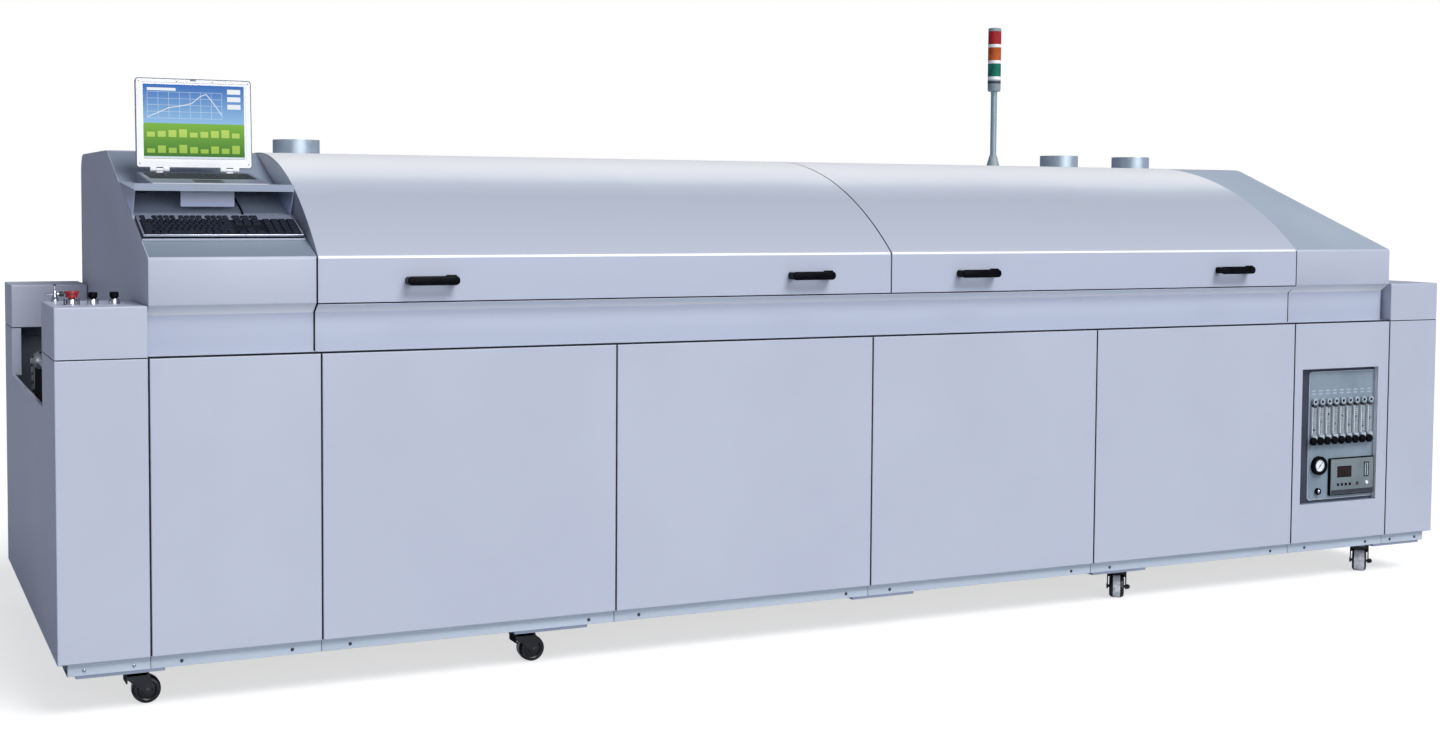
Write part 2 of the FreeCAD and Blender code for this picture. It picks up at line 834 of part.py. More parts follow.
# One heating zone: a hollow box of sheet whose side towards the boards is a plate with nozzle slots
def zone_box(a1, a2, z1, z2, plate_z):
    box = block(a1, a2, tunnel_front, tunnel_back, z1, z2)
    front = tunnel_front + sheet
    box = box.cut(block(a1 + sheet, a2 - sheet, front, tunnel_back - sheet, z1 + sheet, z2 - sheet))
    pitch = (a2 - a1) / nozzle_slots
    half = nozzle_width / 2
    slot_front = tunnel_front + nozzle_margin
    slot_back = tunnel_back - nozzle_margin
    for slot in range(nozzle_slots):
        middle = a1 + (slot + 0.5) * pitch
        box = box.cut(block(middle - half, middle + half, slot_front, slot_back, plate_z, plate_z + sheet))
    return box


def upper_heat_module(a1, a2):
    a1 = a1 + hood_seam / 2
    a2 = a2 - hood_seam / 2
    solids = []
    middle_back = (tunnel_front + tunnel_back) / 2
    top = upper_module_top
    for start, end in zone_spans(a1, a2):
        solids.append(zone_box(start, end, upper_module_bottom, top, upper_module_bottom))
        middle = (start + end) / 2
        solids.append(rod_z(middle, middle_back, top, top + blower_height, blower_radius))
    return solids


def lower_heat_module():
    solids = []
    start = seams[1]
    pitch = (seams[-2] - start) / lower_zones
    middle_back = (tunnel_front + tunnel_back) / 2
    for zone in range(lower_zones):
        a1 = start + zone * pitch
        a2 = a1 + pitch - zone_gap
        solids.append(zone_box(a1, a2, support_beam_top, lower_module_top, lower_module_top - sheet))
        middle = (a1 + a2) / 2
        low = support_beam_top - blower_height
        solids.append(rod_z(middle, middle_back, low, support_beam_top, blower_radius))
    return solids


def lift_column(a1, a2):
    place = lift_place(a1, a2)
    column = rod_z(place, lift_back, pan_top, lift_column_top, lift_column_radius)
    return column.cut(rod_z(place, lift_back, lift_bore_foot, lift_column_top, lift_rod_radius + running_gap))


def lift_rod(a1, a2):
    place = lift_place(a1, a2)
    inner = lift_lug_thick / 2 + clevis_gap
    outer = inner + clevis_cheek
    half = clevis_depth / 2
    low = lift_pin_z - clevis_reach
    rod = rod_z(place, lift_back, lift_rod_foot, low - clevis_foot, lift_rod_radius)
    foot = block(place - outer, place + outer, lift_back - half, lift_back + half, low - clevis_foot, low)
    top = lift_pin_z + half
    left = block(place - outer, place - inner, lift_back - half, lift_back + half, low, top)
    right = block(place + inner, place + outer, lift_back - half, lift_back + half, low, top)
    pin = rod_x(place - outer, place + outer, lift_back, lift_pin_z, lift_pin_radius)
    return fused(rod, foot, left, right, pin)


# Conveyor: rails with shoes, chain loops, idler and drive shafts, gear motor
def chain_wheels():
    entry = [
        (nose_inset, nose_level, nose_radius, 1),
        (shoe_inset, shoe_level, shoe_radius, 1),
        (guide_inset, guide_level, guide_radius, -1),
    ]
    leave = [(length - a, z, radius, turn) for a, z, radius, turn in entry[::-1]]
    return entry + leave


# A closed loop round wheels of (along, height, radius, turn), shifted outwards from the chain's middle line
def chain_loop(shift, b):
    wheels = [(a, z, radius + shift * turn, turn) for a, z, radius, turn in chain_wheels()]
    spans = []
    for (a1, z1, r1, t1), (a2, z2, r2, t2) in zip(wheels, wheels[1:] + wheels[:1]):
        run = math.hypot(a2 - a1, z2 - z1)
        heading = math.atan2(z2 - z1, a2 - a1)
        lean = math.asin((t2 * r2 - t1 * r1) / run)
        side = heading - math.pi / 2 - lean
        spans.append(((a1 + t1 * r1 * math.cos(side), z1 + t1 * r1 * math.sin(side)),
                      (a2 + t2 * r2 * math.cos(side), z2 + t2 * r2 * math.sin(side))))
    edges = []
    for index, (a, z, radius, turn) in enumerate(wheels):
        arrive = spans[index - 1][1]
        leave = spans[index][0]
        first = math.atan2(arrive[1] - z, arrive[0] - a)
        sweep = (turn * (math.atan2(leave[1] - z, leave[0] - a) - first)) % (2 * math.pi)
        middle = first + turn * sweep / 2
        half_way = point(a + radius * math.cos(middle), b, z + radius * math.sin(middle))
        onto = point(arrive[0], b, arrive[1])
        off = point(leave[0], b, leave[1])
        reach = spans[index][1]
        edges.append(Part.Arc(onto, half_way, off).toShape())
        edges.append(Part.LineSegment(off, point(reach[0], b, reach[1])).toShape())
    return Part.Face(Part.Wire(edges)).extrude(FreeCAD.Vector(0, chain_width, 0))


def conveyor_chain(b):
    return chain_loop(chain_thick / 2, b).cut(chain_loop(-chain_thick / 2, b))


# One rail: its beam, ledges under both chain runs, and at each end a shoe plate with the fixed chain guides
def conveyor_rail(rail_b, chain_b):
    rail_end = rail_b + rail_width
    rail = block(rail_end_inset, length - rail_end_inset, rail_b, rail_end, lower_module_top, rail_top)
    inner = rail_end if chain_b > rail_b else rail_b
    far = chain_b + chain_width if chain_b > rail_b else chain_b
    low, high = min(inner, far), max(inner, far)
    pieces = []
    for under in (conveyor_height - chain_thick, return_level - chain_thick / 2):
        top = under - touch_gap
        pieces.append(block(ledge_inset, length - ledge_inset, low, high, top - ledge_thick, top))
    plate_b = inner - shoe_plate_thick if chain_b > rail_b else inner
    plate_length = guide_inset + 2 * guide_radius
    plate_low = shoe_level - shoe_radius
    for start, end in ((rail_end_inset, plate_length), (length - plate_length, length - rail_end_inset)):
        pieces.append(block(start, end, plate_b, plate_b + shoe_plate_thick, plate_low, lower_module_top))
    for inset, z, radius in ((shoe_inset, shoe_level, shoe_radius), (guide_inset, guide_level, guide_radius)):
        for place in (inset, length - inset):
            pieces.append(rod_y(place, low, high, z, radius - chain_thick / 2 - touch_gap))
    rail = fused(rail, *pieces)
    for place in (nose_inset, length - nose_inset):
        rail = rail.cut(rod_y(place, rail_b, rail_end, nose_level, shaft_radius + running_gap))
    return rail


# Board sensor that stands on the rear rail inside the entry notch
def board_sensor():
    end = sensor_inset + sensor_length
    rear = rear_rail_back + rail_width
    return block(sensor_inset, end, rear_rail_back, rear, rail_top, rail_top + sensor_height)


def conveyor_shaft(place, front_end):
    shaft = rod_y(place, front_end, rear_rail_back + rail_width + shaft_overhang, nose_level, shaft_radius)
    rim = nose_radius - chain_thick / 2 - touch_gap
    sprockets = []
    for b in (front_chain_back, rear_chain_back):
        sprockets.append(rod_y(place, b + sprocket_side, b + chain_width - sprocket_side, nose_level, rim))
    return fused(shaft, *sprockets)


motor_face = front_rail_back - motor_flange


def conveyor_motor():
    half = gearbox_size / 2
    place = length - nose_inset + shaft_radius + gearbox_wall - half
    gear_b = motor_face - gearbox_length
    gearbox = block(place - half, place + half, gear_b, motor_face, nose_level - half, nose_level + half)
    flange = block(place - half, place + half, motor_face, front_rail_back, lower_module_top, rail_top)
    hole = rod_y(length - nose_inset, motor_face, front_rail_back, nose_level, shaft_radius + shaft_hole_gap)
    motor = rod_y(place, gear_b - motor_length, gear_b, nose_level, motor_radius)
    return fused(gearbox, flange.cut(hole), motor)


def power_cabinet():
    start = end_unit_length + power_cabinet_inset
    end = start + power_cabinet_length
    b = power_cabinet_back
    top = pan_top + power_cabinet_height
    return open_box(start, end, b, b + power_cabinet_depth, pan_top, top, power_cabinet_radius)


# Exhaust stubs and the signal tower
def exhaust_duct(place):
    top = deck_top + duct_height
    tube = rod_z(place, duct_back, deck_top, top, duct_radius)
    flange = rod_z(place, duct_back, deck_top, deck_top + sheet, duct_flange_radius)
    return fused(tube, flange).cut(rod_z(place, duct_back, deck_top, top, duct_radius - duct_wall))


tower_first_lens = tower_pole_top + tower_housing_height + tower_ring_height
tower_lens_pitch = tower_lens_height + tower_ring_height
tower_top = tower_first_lens + lens_count * tower_lens_pitch - tower_ring_height + tower_cap_height


def tower_stem():
    spot = point(tower_place, tower_back, deck_top)
    flare = Part.makeCone(tower_foot_radius, tower_pole_radius, tower_flare, spot)
    pole = rod_z(tower_place, tower_back, deck_top, tower_pole_top, tower_pole_radius)
    housing_top = tower_pole_top + tower_housing_height
    housing = rod_z(tower_place, tower_back, tower_pole_top, housing_top, tower_radius)
    solids = [fused(flare, pole), housing]
    for index in range(lens_count):
        top = tower_first_lens + index * tower_lens_pitch
        solids.append(rod_z(tower_place, tower_back, top - tower_ring_height, top, tower_radius))
    solids.append(rod_z(tower_place, tower_back, tower_top - tower_cap_height, tower_top, tower_radius))
    return solids


def tower_lens(index):
    low = tower_first_lens + index * tower_lens_pitch
    return rod_z(tower_place, tower_back, low, low + tower_lens_height, tower_radius)


# Laptop shelf with its lip, cheeks and bracket, cut to the console's slope
def on_shelf(shape):
    return tilted(shape, shelf_front, shelf_level, shelf_tilt)


def laptop_shelf():
    end = shelf_start + shelf_length
    plate = block(shelf_start, end, shelf_front, shelf_front + shelf_reach, shelf_level, shelf_level + sheet)
    lip = block(shelf_start, end, shelf_front, shelf_front + sheet, shelf_level, shelf_level + shelf_lip)
    rise = math.tan(math.radians(shelf_tilt))
    meet = (shelf_level - band_top - shelf_front * rise) / (slope_tangent - rise)
    cheek_foot = shelf_front + cheek_setback
    cheek = [
        (shelf_front + sheet, shelf_level + sheet * rise),
        (cheek_foot, slope_height(cheek_foot) - sheet),
        (meet, slope_height(meet)),
    ]
    pieces = [on_shelf(lip)]
    for start in (shelf_start, end - sheet):
        pieces.append(prism(cheek, start, start + sheet))
    bracket_start = shelf_start + bracket_inset
    bracket_back = shelf_front + bracket_setback
    bracket_top = shelf_level + bracket_setback * rise + sheet / 2
    pieces.append(block(bracket_start, bracket_start + bracket_length, bracket_back, bracket_back + sheet,
                        shelf_level - bracket_drop, bracket_top))
    return fused(on_shelf(plate), *pieces).cut(cover_body(console_start, console_end))


laptop_front = shelf_front + sheet + laptop_shelf_gap
laptop_foot = shelf_level + sheet
lid_axis_back = laptop_front + laptop_depth - lid_hinge_setback
lid_axis_z = laptop_foot + laptop_back_height + lid_hinge_rise


def laptop_base():
    rear = laptop_front + laptop_depth
    wedge = [
        (laptop_front, laptop_foot),
        (rear, laptop_foot),
        (rear, laptop_foot + laptop_back_height),
        (laptop_front, laptop_foot + laptop_front_height),
    ]
    base = prism(wedge, laptop_start, laptop_start + laptop_width)
    for start in knuckle_starts():
        knuckle = rod_x(start, start + lid_knuckle, lid_axis_back, lid_axis_z, lid_hinge_radius)
        front = lid_axis_back - lid_hinge_radius
        web_low = laptop_foot + laptop_front_height
        web = block(start, start + lid_knuckle, front, front + 2 * lid_hinge_radius, web_low, lid_axis_z)
        base = fused(base, knuckle, web)
    return on_shelf(base)


# Where the base's two hinge knuckles start; the lid has an ear on each side of both
def knuckle_starts():
    first = laptop_start + lid_hinge_inset + lid_knuckle
    last = laptop_start + laptop_width - lid_hinge_inset - 2 * lid_knuckle
    return first, last


def laptop_lid():
    half = lid_thick / 2
    low = lid_axis_z + lid_hinge_radius + lid_foot_gap
    lid = block(laptop_start, laptop_start + laptop_width, lid_axis_back - half, lid_axis_back + half, low,
                lid_axis_z + lid_height)
    front = lid_axis_back - lid_hinge_radius
    rear = lid_axis_back + lid_hinge_radius
    for start in knuckle_starts():
        for first in (start - touch_gap - lid_knuckle, start + lid_knuckle + touch_gap):
            last = first + lid_knuckle
            eye = rod_x(first, last, lid_axis_back, lid_axis_z, lid_hinge_radius)
            lid = fused(lid, eye, block(first, last, front, rear, lid_axis_z, low))
    lid = tilted(lid, lid_axis_back, lid_axis_z, -lid_lean - shelf_tilt)
    return on_shelf(lid)


def keyboard():
    end = keyboard_start + keyboard_width
    body = slope_block(keyboard_start, end, 0.0, keyboard_depth, 0.0, keyboard_height)
    up1 = key_border
    up2 = keyboard_depth - key_border
    top = keyboard_height + key_height
    number_start = end - key_border - number_field
    nav_start = number_start - key_field_gap - nav_field
    spans = [(keyboard_start + key_border, nav_start - key_field_gap)]
    spans += [(nav_start, nav_start + nav_field), (number_start, number_start + number_field)]
    fields = [slope_block(a1, a2, up1, up2, keyboard_height, top) for a1, a2 in spans]
    return fused(body, *fields)


def keyboard_cable():
    foot = slope_height(keyboard_back)
    start = point(lead_place, keyboard_back + keyboard_depth, foot + lead_radius + touch_gap)
    lead = Part.makeCylinder(lead_radius, lead_length, start, FreeCAD.Vector(0, 1, 0))
    grommet_b = keyboard_back + keyboard_depth + lead_length
    grommet = rod_z(lead_place, grommet_b, foot, foot + lead_grommet_height, lead_grommet_radius)
    return tilted(fused(lead, grommet), keyboard_back, foot, slope_angle)


# Gas panel: recessed plate and its instruments
def gas_plate():
    outer = block(window_start - sheet, window_end + sheet, sheet, plate_back + sheet,
                  window_bottom - sheet, window_top + sheet)
    return outer.cut(block(window_start, window_end, sheet, plate_back, window_bottom, window_top))


def flowmeters():
    solids = []
    half = meter_block / 2
    middle = (meter_front + plate_back) / 2
    low = window_bottom + meter_rise
    high = low + meter_height
    foot_top = low + meter_foot_height
    head_low = high - meter_head_height
    knob_z = low + meter_foot_height / 2
    for index in range(meter_count):
        a = window_start + meter_inset + index * meter_pitch
        head = block(a - half, a + half, meter_front, plate_back, head_low, high)
        foot = block(a - half, a + half, meter_front, plate_back, low, foot_top)
        tube = rod_z(a, middle, foot_top, head_low, meter_tube_radius)
        knob = rod_y(a, meter_front - meter_knob_depth, meter_front, knob_z, meter_knob_radius)
        solids.append(fused(head, foot, tube, knob))
    return solids


def pressure_gauge():
    place = window_start + gauge_inset
    gauge = rod_y(place, plate_back - gauge_depth, plate_back, window_bottom + gauge_rise, gauge_radius)
    regulator_z = window_bottom + regulator_rise
    regulator = rod_y(place, plate_back - regulator_depth, plate_back, regulator_z, regulator_radius)
    return gauge, regulator


def gas_analyser():
    start = window_start + analyser_inset
    front = plate_back - analyser_depth
    low = window_bottom + analyser_rise
    return block(start, start + analyser_length, front, plate_back, low, low + analyser_height)


# Push buttons and tee handle on the control box
def push_button(place, cap_radius, cap_height, travel):
    collar_top = band_bottom + button_collar_height
    cap_low = collar_top + travel + button_stop_gap
    stem = rod_z(place, button_back, band_bottom - button_stem_drop, cap_low, button_stem_radius)
    cap = rod_z(place, button_back, cap_low, cap_low + cap_height, cap_radius)
    return fused(stem, cap)


def main_switch():
    bar_z = band_bottom + tee_bar_rise
    bar_top = bar_z + tee_bar_radius
    half = tee_bar_length / 2
    stem = rod_z(tee_inset, tee_back, band_bottom - button_stem_drop, bar_top, tee_stem_radius)
    bar = rod_x(tee_inset - half, tee_inset + half, tee_back, bar_z, tee_bar_radius)
    cone = Part.makeCone(tee_stem_radius, tee_cone_tip, tee_cone_height, point(tee_inset, tee_back, bar_top))
    collar_low = band_bottom + touch_gap
    collar = rod_z(tee_inset, tee_back, collar_low, collar_low + tee_collar_height, tee_collar_radius)
    return fused(stem, bar, cone, collar)


# Castors: a swivelling fork with its stem, axle and axle nut, and a wheel that rolls on the axle
def castor(place, depth, heading):
    head_top = castor_height - touch_gap
    head_bottom = head_top - castor_head_height
    axle_z = wheel_diameter / 2
    inner = wheel_width / 2 + fork_side_gap
    outer = inner + fork_cheek
    axle = place + castor_trail
    head = rod_z(place, depth, head_bottom, head_top, castor_head_radius)
    stem = rod_z(place, depth, head_bottom, strip_bottom - touch_gap, castor_stem_radius)
    pieces = [stem]
    for side in (-1, 1):
        near = depth + side * inner
        far = depth + side * outer
        low, high = min(near, far), max(near, far)
        corners = [
            (place - castor_head_radius, head_bottom),
            (place + fork_neck, head_bottom),
            (place + castor_trail + fork_eye, axle_z),
            (place + castor_trail, axle_z - fork_eye),
            (place + castor_trail - fork_eye, axle_z),
            (place - castor_head_radius, head_bottom - fork_heel_drop),
        ]
        spots = [point(a, low, z) for a, z in corners]
        cheek = Part.Face(Part.makePolygon(spots + spots[:1])).extrude(FreeCAD.Vector(0, high - low, 0))
        pieces.append(cheek)
    pieces.append(block(place - castor_head_radius, place + fork_neck, depth - outer, depth + outer,
                        head_bottom - fork_cheek, head_bottom))
    pieces.append(rod_y(axle, depth - outer, depth + outer, axle_z, castor_axle_radius))
    pieces.append(rod_y(axle, depth + outer, depth + outer + axle_nut_reach, axle_z, axle_nut_radius))
    fork = fused(head, *pieces)
    wheel = rod_y(axle, depth - wheel_width / 2, depth + wheel_width / 2, axle_z, wheel_diameter / 2)
    rims = [edge for edge in wheel.Edges if edge.Closed]
    wheel = wheel.makeFillet(wheel_edge_radius, rims)
    wheel = wheel.cut(rod_y(axle, depth - inner, depth + inner, axle_z, castor_axle_radius + running_gap))
    turn = (point(place, depth, 0.0), FreeCAD.Vector(0, 0, 1), heading)
    return fork.rotated(*turn), wheel.rotated(*turn)


def main():
    save("base_frame", *base_frame())
    save("front_panels", *front_panels())
    save("rear_panels", *panel_row(cabinet_depth, -1))
    save("end_panels", end_panel(0.0, 1), end_panel(length, -1))
    far_cap = length - cap_width
    save("control_box", control_box())
    save("end_caps", corner_cap(0.0, notch_back, cabinet_depth), corner_cap(far_cap, 0.0, notch_front),
         corner_cap(far_cap, notch_back, cabinet_depth))
    save("console_shell", console_shell())
    save("front_sill", front_sill())
    save("exit_cover", exit_cover())
    save("rear_deck", *rear_deck())
    save("exhaust_ducts", *[exhaust_duct(place) for place in duct_places])
    save("tower_stem", *tower_stem())
    for index, colour in enumerate(("green", "amber", "red")):
        save("tower_lens_" + colour, tower_lens(index))
    save("lower_heat_module", *lower_heat_module())
    save("laptop_shelf", laptop_shelf())
    save("laptop_base", laptop_base())
    save("laptop_lid", laptop_lid())
    save("keyboard", keyboard())
    save("keyboard_cable", keyboard_cable())
    save("gas_plate", gas_plate())
    save("flowmeters", *flowmeters())
    save("pressure_gauge", *pressure_gauge())
    save("gas_analyser", gas_analyser())
    save("conveyor_rails", conveyor_rail(front_rail_back, front_chain_back),
         conveyor_rail(rear_rail_back, rear_chain_back), board_sensor())
    save("conveyor_chains", conveyor_chain(front_chain_back), conveyor_chain(rear_chain_back))
    save("conveyor_motor", conveyor_motor())
    save("idler_shaft", conveyor_shaft(nose_inset, front_rail_back - shaft_overhang))
    save("drive_shaft", conveyor_shaft(length - nose_inset, motor_face + touch_gap))
    save("power_cabinet", power_cabinet())
    hoods = (("entry", console_end, hood_split), ("exit", hood_split, exit_start))
    save("lift_columns", *[lift_column(a1, a2) for name, a1, a2 in hoods])
    for name, a1, a2 in hoods:
        save("hood_" + name, hood(a1, a2))
        save("hood_handles_" + name, *hood_handles(a1, a2))
        save("upper_heat_module_" + name, *upper_heat_module(a1, a2))
        save("lift_rod_" + name, lift_rod(a1, a2))
    save("estop_button", push_button(estop_inset, estop_cap_radius, estop_cap_height, estop_travel))
    save("start_button", push_button(start_inset, button_cap_radius, button_cap_height, button_travel))
    save("stop_button", push_button(stop_inset, button_cap_radius, button_cap_height, button_travel))
    save("main_switch", main_switch())
    for row, depth in (("front", castor_back), ("rear", cabinet_depth - castor_back)):
        for number, (place, heading) in enumerate(zip(castor_places, castor_headings), 1):
            fork, wheel = castor(place, depth, heading)
            save("castor_fork_{}_{}".format(row, number), fork)
            save("castor_wheel_{}_{}".format(row, number), wheel)


main()
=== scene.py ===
import math

import bmesh
import bpy
from mathutils import Matrix, Vector


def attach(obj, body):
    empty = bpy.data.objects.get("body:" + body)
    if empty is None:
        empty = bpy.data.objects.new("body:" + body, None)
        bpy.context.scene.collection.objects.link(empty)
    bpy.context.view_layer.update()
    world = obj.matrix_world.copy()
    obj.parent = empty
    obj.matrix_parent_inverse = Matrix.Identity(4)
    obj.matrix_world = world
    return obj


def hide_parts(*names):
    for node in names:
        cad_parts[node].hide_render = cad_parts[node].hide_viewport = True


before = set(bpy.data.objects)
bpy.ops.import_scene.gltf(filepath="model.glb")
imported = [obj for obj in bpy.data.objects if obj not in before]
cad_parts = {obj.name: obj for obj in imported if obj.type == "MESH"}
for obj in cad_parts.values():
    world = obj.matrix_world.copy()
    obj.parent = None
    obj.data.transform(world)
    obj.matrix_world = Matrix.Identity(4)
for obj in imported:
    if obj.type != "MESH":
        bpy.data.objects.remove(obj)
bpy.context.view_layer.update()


def moved(*spot):
    return Matrix.Translation(spot)


def spun(degrees, axis):
    return Matrix.Rotation(math.radians(degrees), 4, axis)


def tilted(b, z, degrees):  # a tilt about a line along the oven, at a depth and a height
    return moved(0, b, z) @ spun(degrees, "X") @ moved(0, -b, -z)


# millimetres along from the entry end, back from the front face and up from the floor
oven = {"middle": 2428, "depthMiddle": 762, "shelf": (245, 1377, 4.5), "slopeFoot": (116, 1242.858),
        "slopeRise": 300, "slopeRun": 812}
toFrame = moved(-oven["middle"] / 1000, -oven["depthMiddle"] / 1000, 0) @ Matrix.Scale(0.001, 4)
shelfPlace = tilted(*oven["shelf"])  # for what stands on the laptop shelf
slopeTurn = Matrix.Rotation(math.atan(oven["slopeRise"] / oven["slopeRun"]), 4, "X")
slopePlace = moved(0, *oven["slopeFoot"]) @ slopeTurn  # for what lies on the console's slope
print("frame loaded,", len(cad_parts), "nodes")


def linear(colour):  # sRGB hex to linear
    parts = [int(colour[i:i + 2], 16) / 255 for i in (1, 3, 5)]
    return [c / 12.92 if c < 0.04045 else ((c + 0.055) / 1.055) ** 2.4 for c in parts] + [1]


def put(tree, kind, settings={}, links={}):  # one node with its settings and links
    node = tree.nodes.new(kind)
    for name, value in settings.items():
        if name == "stops":
            ramp = node.color_ramp.elements
            for stop, (spot, colour) in zip(ramp, (value[0], value[-1])):
                stop.position = spot
                stop.color = linear(colour)
            for spot, colour in value[1:-1]:
                ramp.new(spot).color = linear(colour)
        elif isinstance(name, str) and hasattr(node, name):
            setattr(node, name, value)
        else:
            node.inputs[name].default_value = value
    for name, socket in links.items():
        tree.links.new(socket, node.inputs[name])
    return node


def shine(ior, level=0.5):  # how strongly a finish mirrors at its surface
    return {"IOR": ior, "Specular IOR Level": level}


def emptyTree(owner):
    owner.use_nodes = True
    owner.node_tree.nodes.clear()
    return owner.node_tree


def startFinish(name, settings):
    finish = bpy.data.materials.new(name)
    tree = emptyTree(finish)
    skin = put(tree, "ShaderNodeBsdfPrincipled", settings)
    put(tree, "ShaderNodeOutputMaterial", links={"Surface": skin.outputs["BSDF"]})
    place = put(tree, "ShaderNodeTexCoord").outputs["Object"]
    return finish, tree, skin, place


def clouds(tree, place, patch, detail=3.0):  # soft patches, patch mm wide
    settings = {"Scale": 1000 / patch, "Detail": detail}
    return put(tree, "ShaderNodeTexNoise", settings, {"Vector": place}).outputs["Fac"]


def ranged(tree, value, settings):
    return put(tree, "ShaderNodeMapRange", settings, {"Value": value}).outputs["Result"]


def coloured(tree, value, stops):
    return put(tree, "ShaderNodeValToRGB", {"stops": stops}, {"Fac": value}).outputs["Color"]


def addRelief(tree, skin, place, grain, depth, rough):  # relief in mm, and gloss that wavers with it
    pits = clouds(tree, place, grain, 2.0)
    gloss = ranged(tree, pits, {"To Min": rough[0], "To Max": rough[1]})
    bump = put(tree, "ShaderNodeBump", {"Distance": depth / 1000}, {"Height": pits})
    tree.links.new(gloss, skin.inputs["Roughness"])
    tree.links.new(bump.outputs["Normal"], skin.inputs["Normal"])


# a finish with cloudy colour (patch mm) and fine relief
def surface(name, dark, light, patch, grain, depth, rough, settings={}, stretch=(1, 1, 1)):
    finish, tree, skin, place = startFinish(name, settings)
    if stretch != (1, 1, 1):
        place = put(tree, "ShaderNodeMapping", {"Scale": stretch}, {"Vector": place}).outputs["Vector"]
    shade = coloured(tree, clouds(tree, place, patch), [(0.35, dark), (0.65, light)])
    tree.links.new(shade, skin.inputs["Base Color"])
    addRelief(tree, skin, place, grain, depth, rough)
    return finish


metal = {"Metallic": 1.0}
coat = shine(1.5)
plastic = shine(1.53)
dull = shine(1.53, 0.2)
peel = (5, 0.04, (0.36, 0.5))  # orange peel of the powder coat, drawn 5 mm wide so that it shows

# polyester powder coat, cured on sheet steel: even colour under orange peel; the palest coat is a painted
# highlight, on the hood's ridge and on a wall of the gas recess that lies in shade
cabinetPaint = surface("powderCoatLavender", "#B7BDCD", "#BBC1D0", 420, *peel, coat)
labelPaint = surface("powderCoatPaleBlue", "#A2ADBF", "#AEB9CA", 260, *peel, coat)
# painted shade: the exit slope is darker than the cabinet, as it faces the light less
exitSlopePaint = surface("powderCoatPaintedExitSlopeShade", "#A3B0BE", "#ABB7C5", 420, 5, 0.04, (0.4, 0.55), coat)
highlightPaint = surface("powderCoatPaintedHighlight", "#F2F4F8", "#FBFCFE", 120, 5, 0.03, (0.3, 0.45), coat)

# enamels and lacquers: the frame's is slightly uneven, the recess is charcoal as painted shade, the plate is
# smooth, the rim is pale as a painted highlight along the plate's edge, the motor shows 7 mm hammer marks,
# the case a fine sprayed grain and the forks a glossy dip
framePaint = surface("satinFrameEnamel", "#7D879A", "#8A94A8", 200, 4, 0.04, (0.4, 0.55), coat)
recessShadePaint = surface("mattCharcoalPaintedShade", "#2A3140", "#343C4C", 120, 4, 0.04, (0.55, 0.7), coat)
platePaint = surface("satinInstrumentPaint", "#7A8996", "#8A99A6", 150, 4, 0.03, (0.4, 0.52), coat)
rimHighlightPaint = surface("paleRimPaintedHighlight", "#B8C3D2", "#C9D2DE", 60, 3, 0.02, (0.35, 0.45), coat)
motorPaint = surface("hammeredMotorEnamel", "#525C6B", "#687384", 60, 7, 0.25, (0.3, 0.45), coat)
analyserPaint = surface("texturedCaseLacquer", "#6C787B", "#798588", 80, 2.5, 0.08, (0.45, 0.6), coat)
forkPaint = surface("blackElectrocoat", "#15171B", "#22252B", 60, 3, 0.03, (0.25, 0.4), coat)
print("paints made")

# moulded plastics: spark-eroded grain, a little gloss, faint flow clouds
blackPlastic = surface("glossBlackNylon", "#06070A", "#0E1015", 40, 2.5, 0.03, (0.18, 0.32),
                       shine(1.53, 0.05))
keyPlastic = surface("grainedBlackAbs", "#0E1220", "#191F30", 30, 1.5, 0.05, (0.5, 0.65), dull)
bedPlastic = surface("mattBlackAbs", "#090B13", "#121622", 30, 1.5, 0.05, (0.5, 0.65), dull)
whitePlastic = surface("glossWhiteAbs", "#EDEEF2", "#F7F8FA", 90, 2, 0.02, (0.22, 0.34), plastic)
greyPlastic = surface("satinGreyAbs", "#737B8B", "#7B8393", 60, 2, 0.03, (0.34, 0.48), plastic)
darkPlastic = surface("mattGraphiteAbs", "#262A33", "#333842", 50, 2, 0.04, (0.42, 0.58), plastic)
housingPlastic = surface("satinGreyPolycarbonate", "#84939A", "#93A1A7", 40, 2, 0.01, (0.4, 0.5),
                         shine(1.55, 0.3))
redPlastic = surface("glossRedAbs", "#8E1F26", "#A52A30", 25, 2, 0.02, (0.2, 0.32), plastic)
wheelNylon = surface("castNylonBlack", "#0F1013", "#1E2024", 30, 3, 0.06, (0.2, 0.42), plastic)
# scuffed tread, made near white as a painted highlight
scuffAndHighlightNylon = surface("scuffedNylonTreadPaintedHighlight", "#C9CCCE", "#F6F7F7", 12, 3, 0.08, (0.45, 0.6), plastic)
# dark strips laid in the panel gaps: painted shade for the shadow in the gaps
seamShadePaint = surface("blackSeamShade", "#171A20", "#22262D", 20, 1.5, 0.05, (0.7, 0.85), shine(1.5, 0.2))
leadRubber = surface("softBlackPvc", "#121419", "#1E2128", 12, 1.2, 0.03, (0.45, 0.6), coat)
print("plastics made")

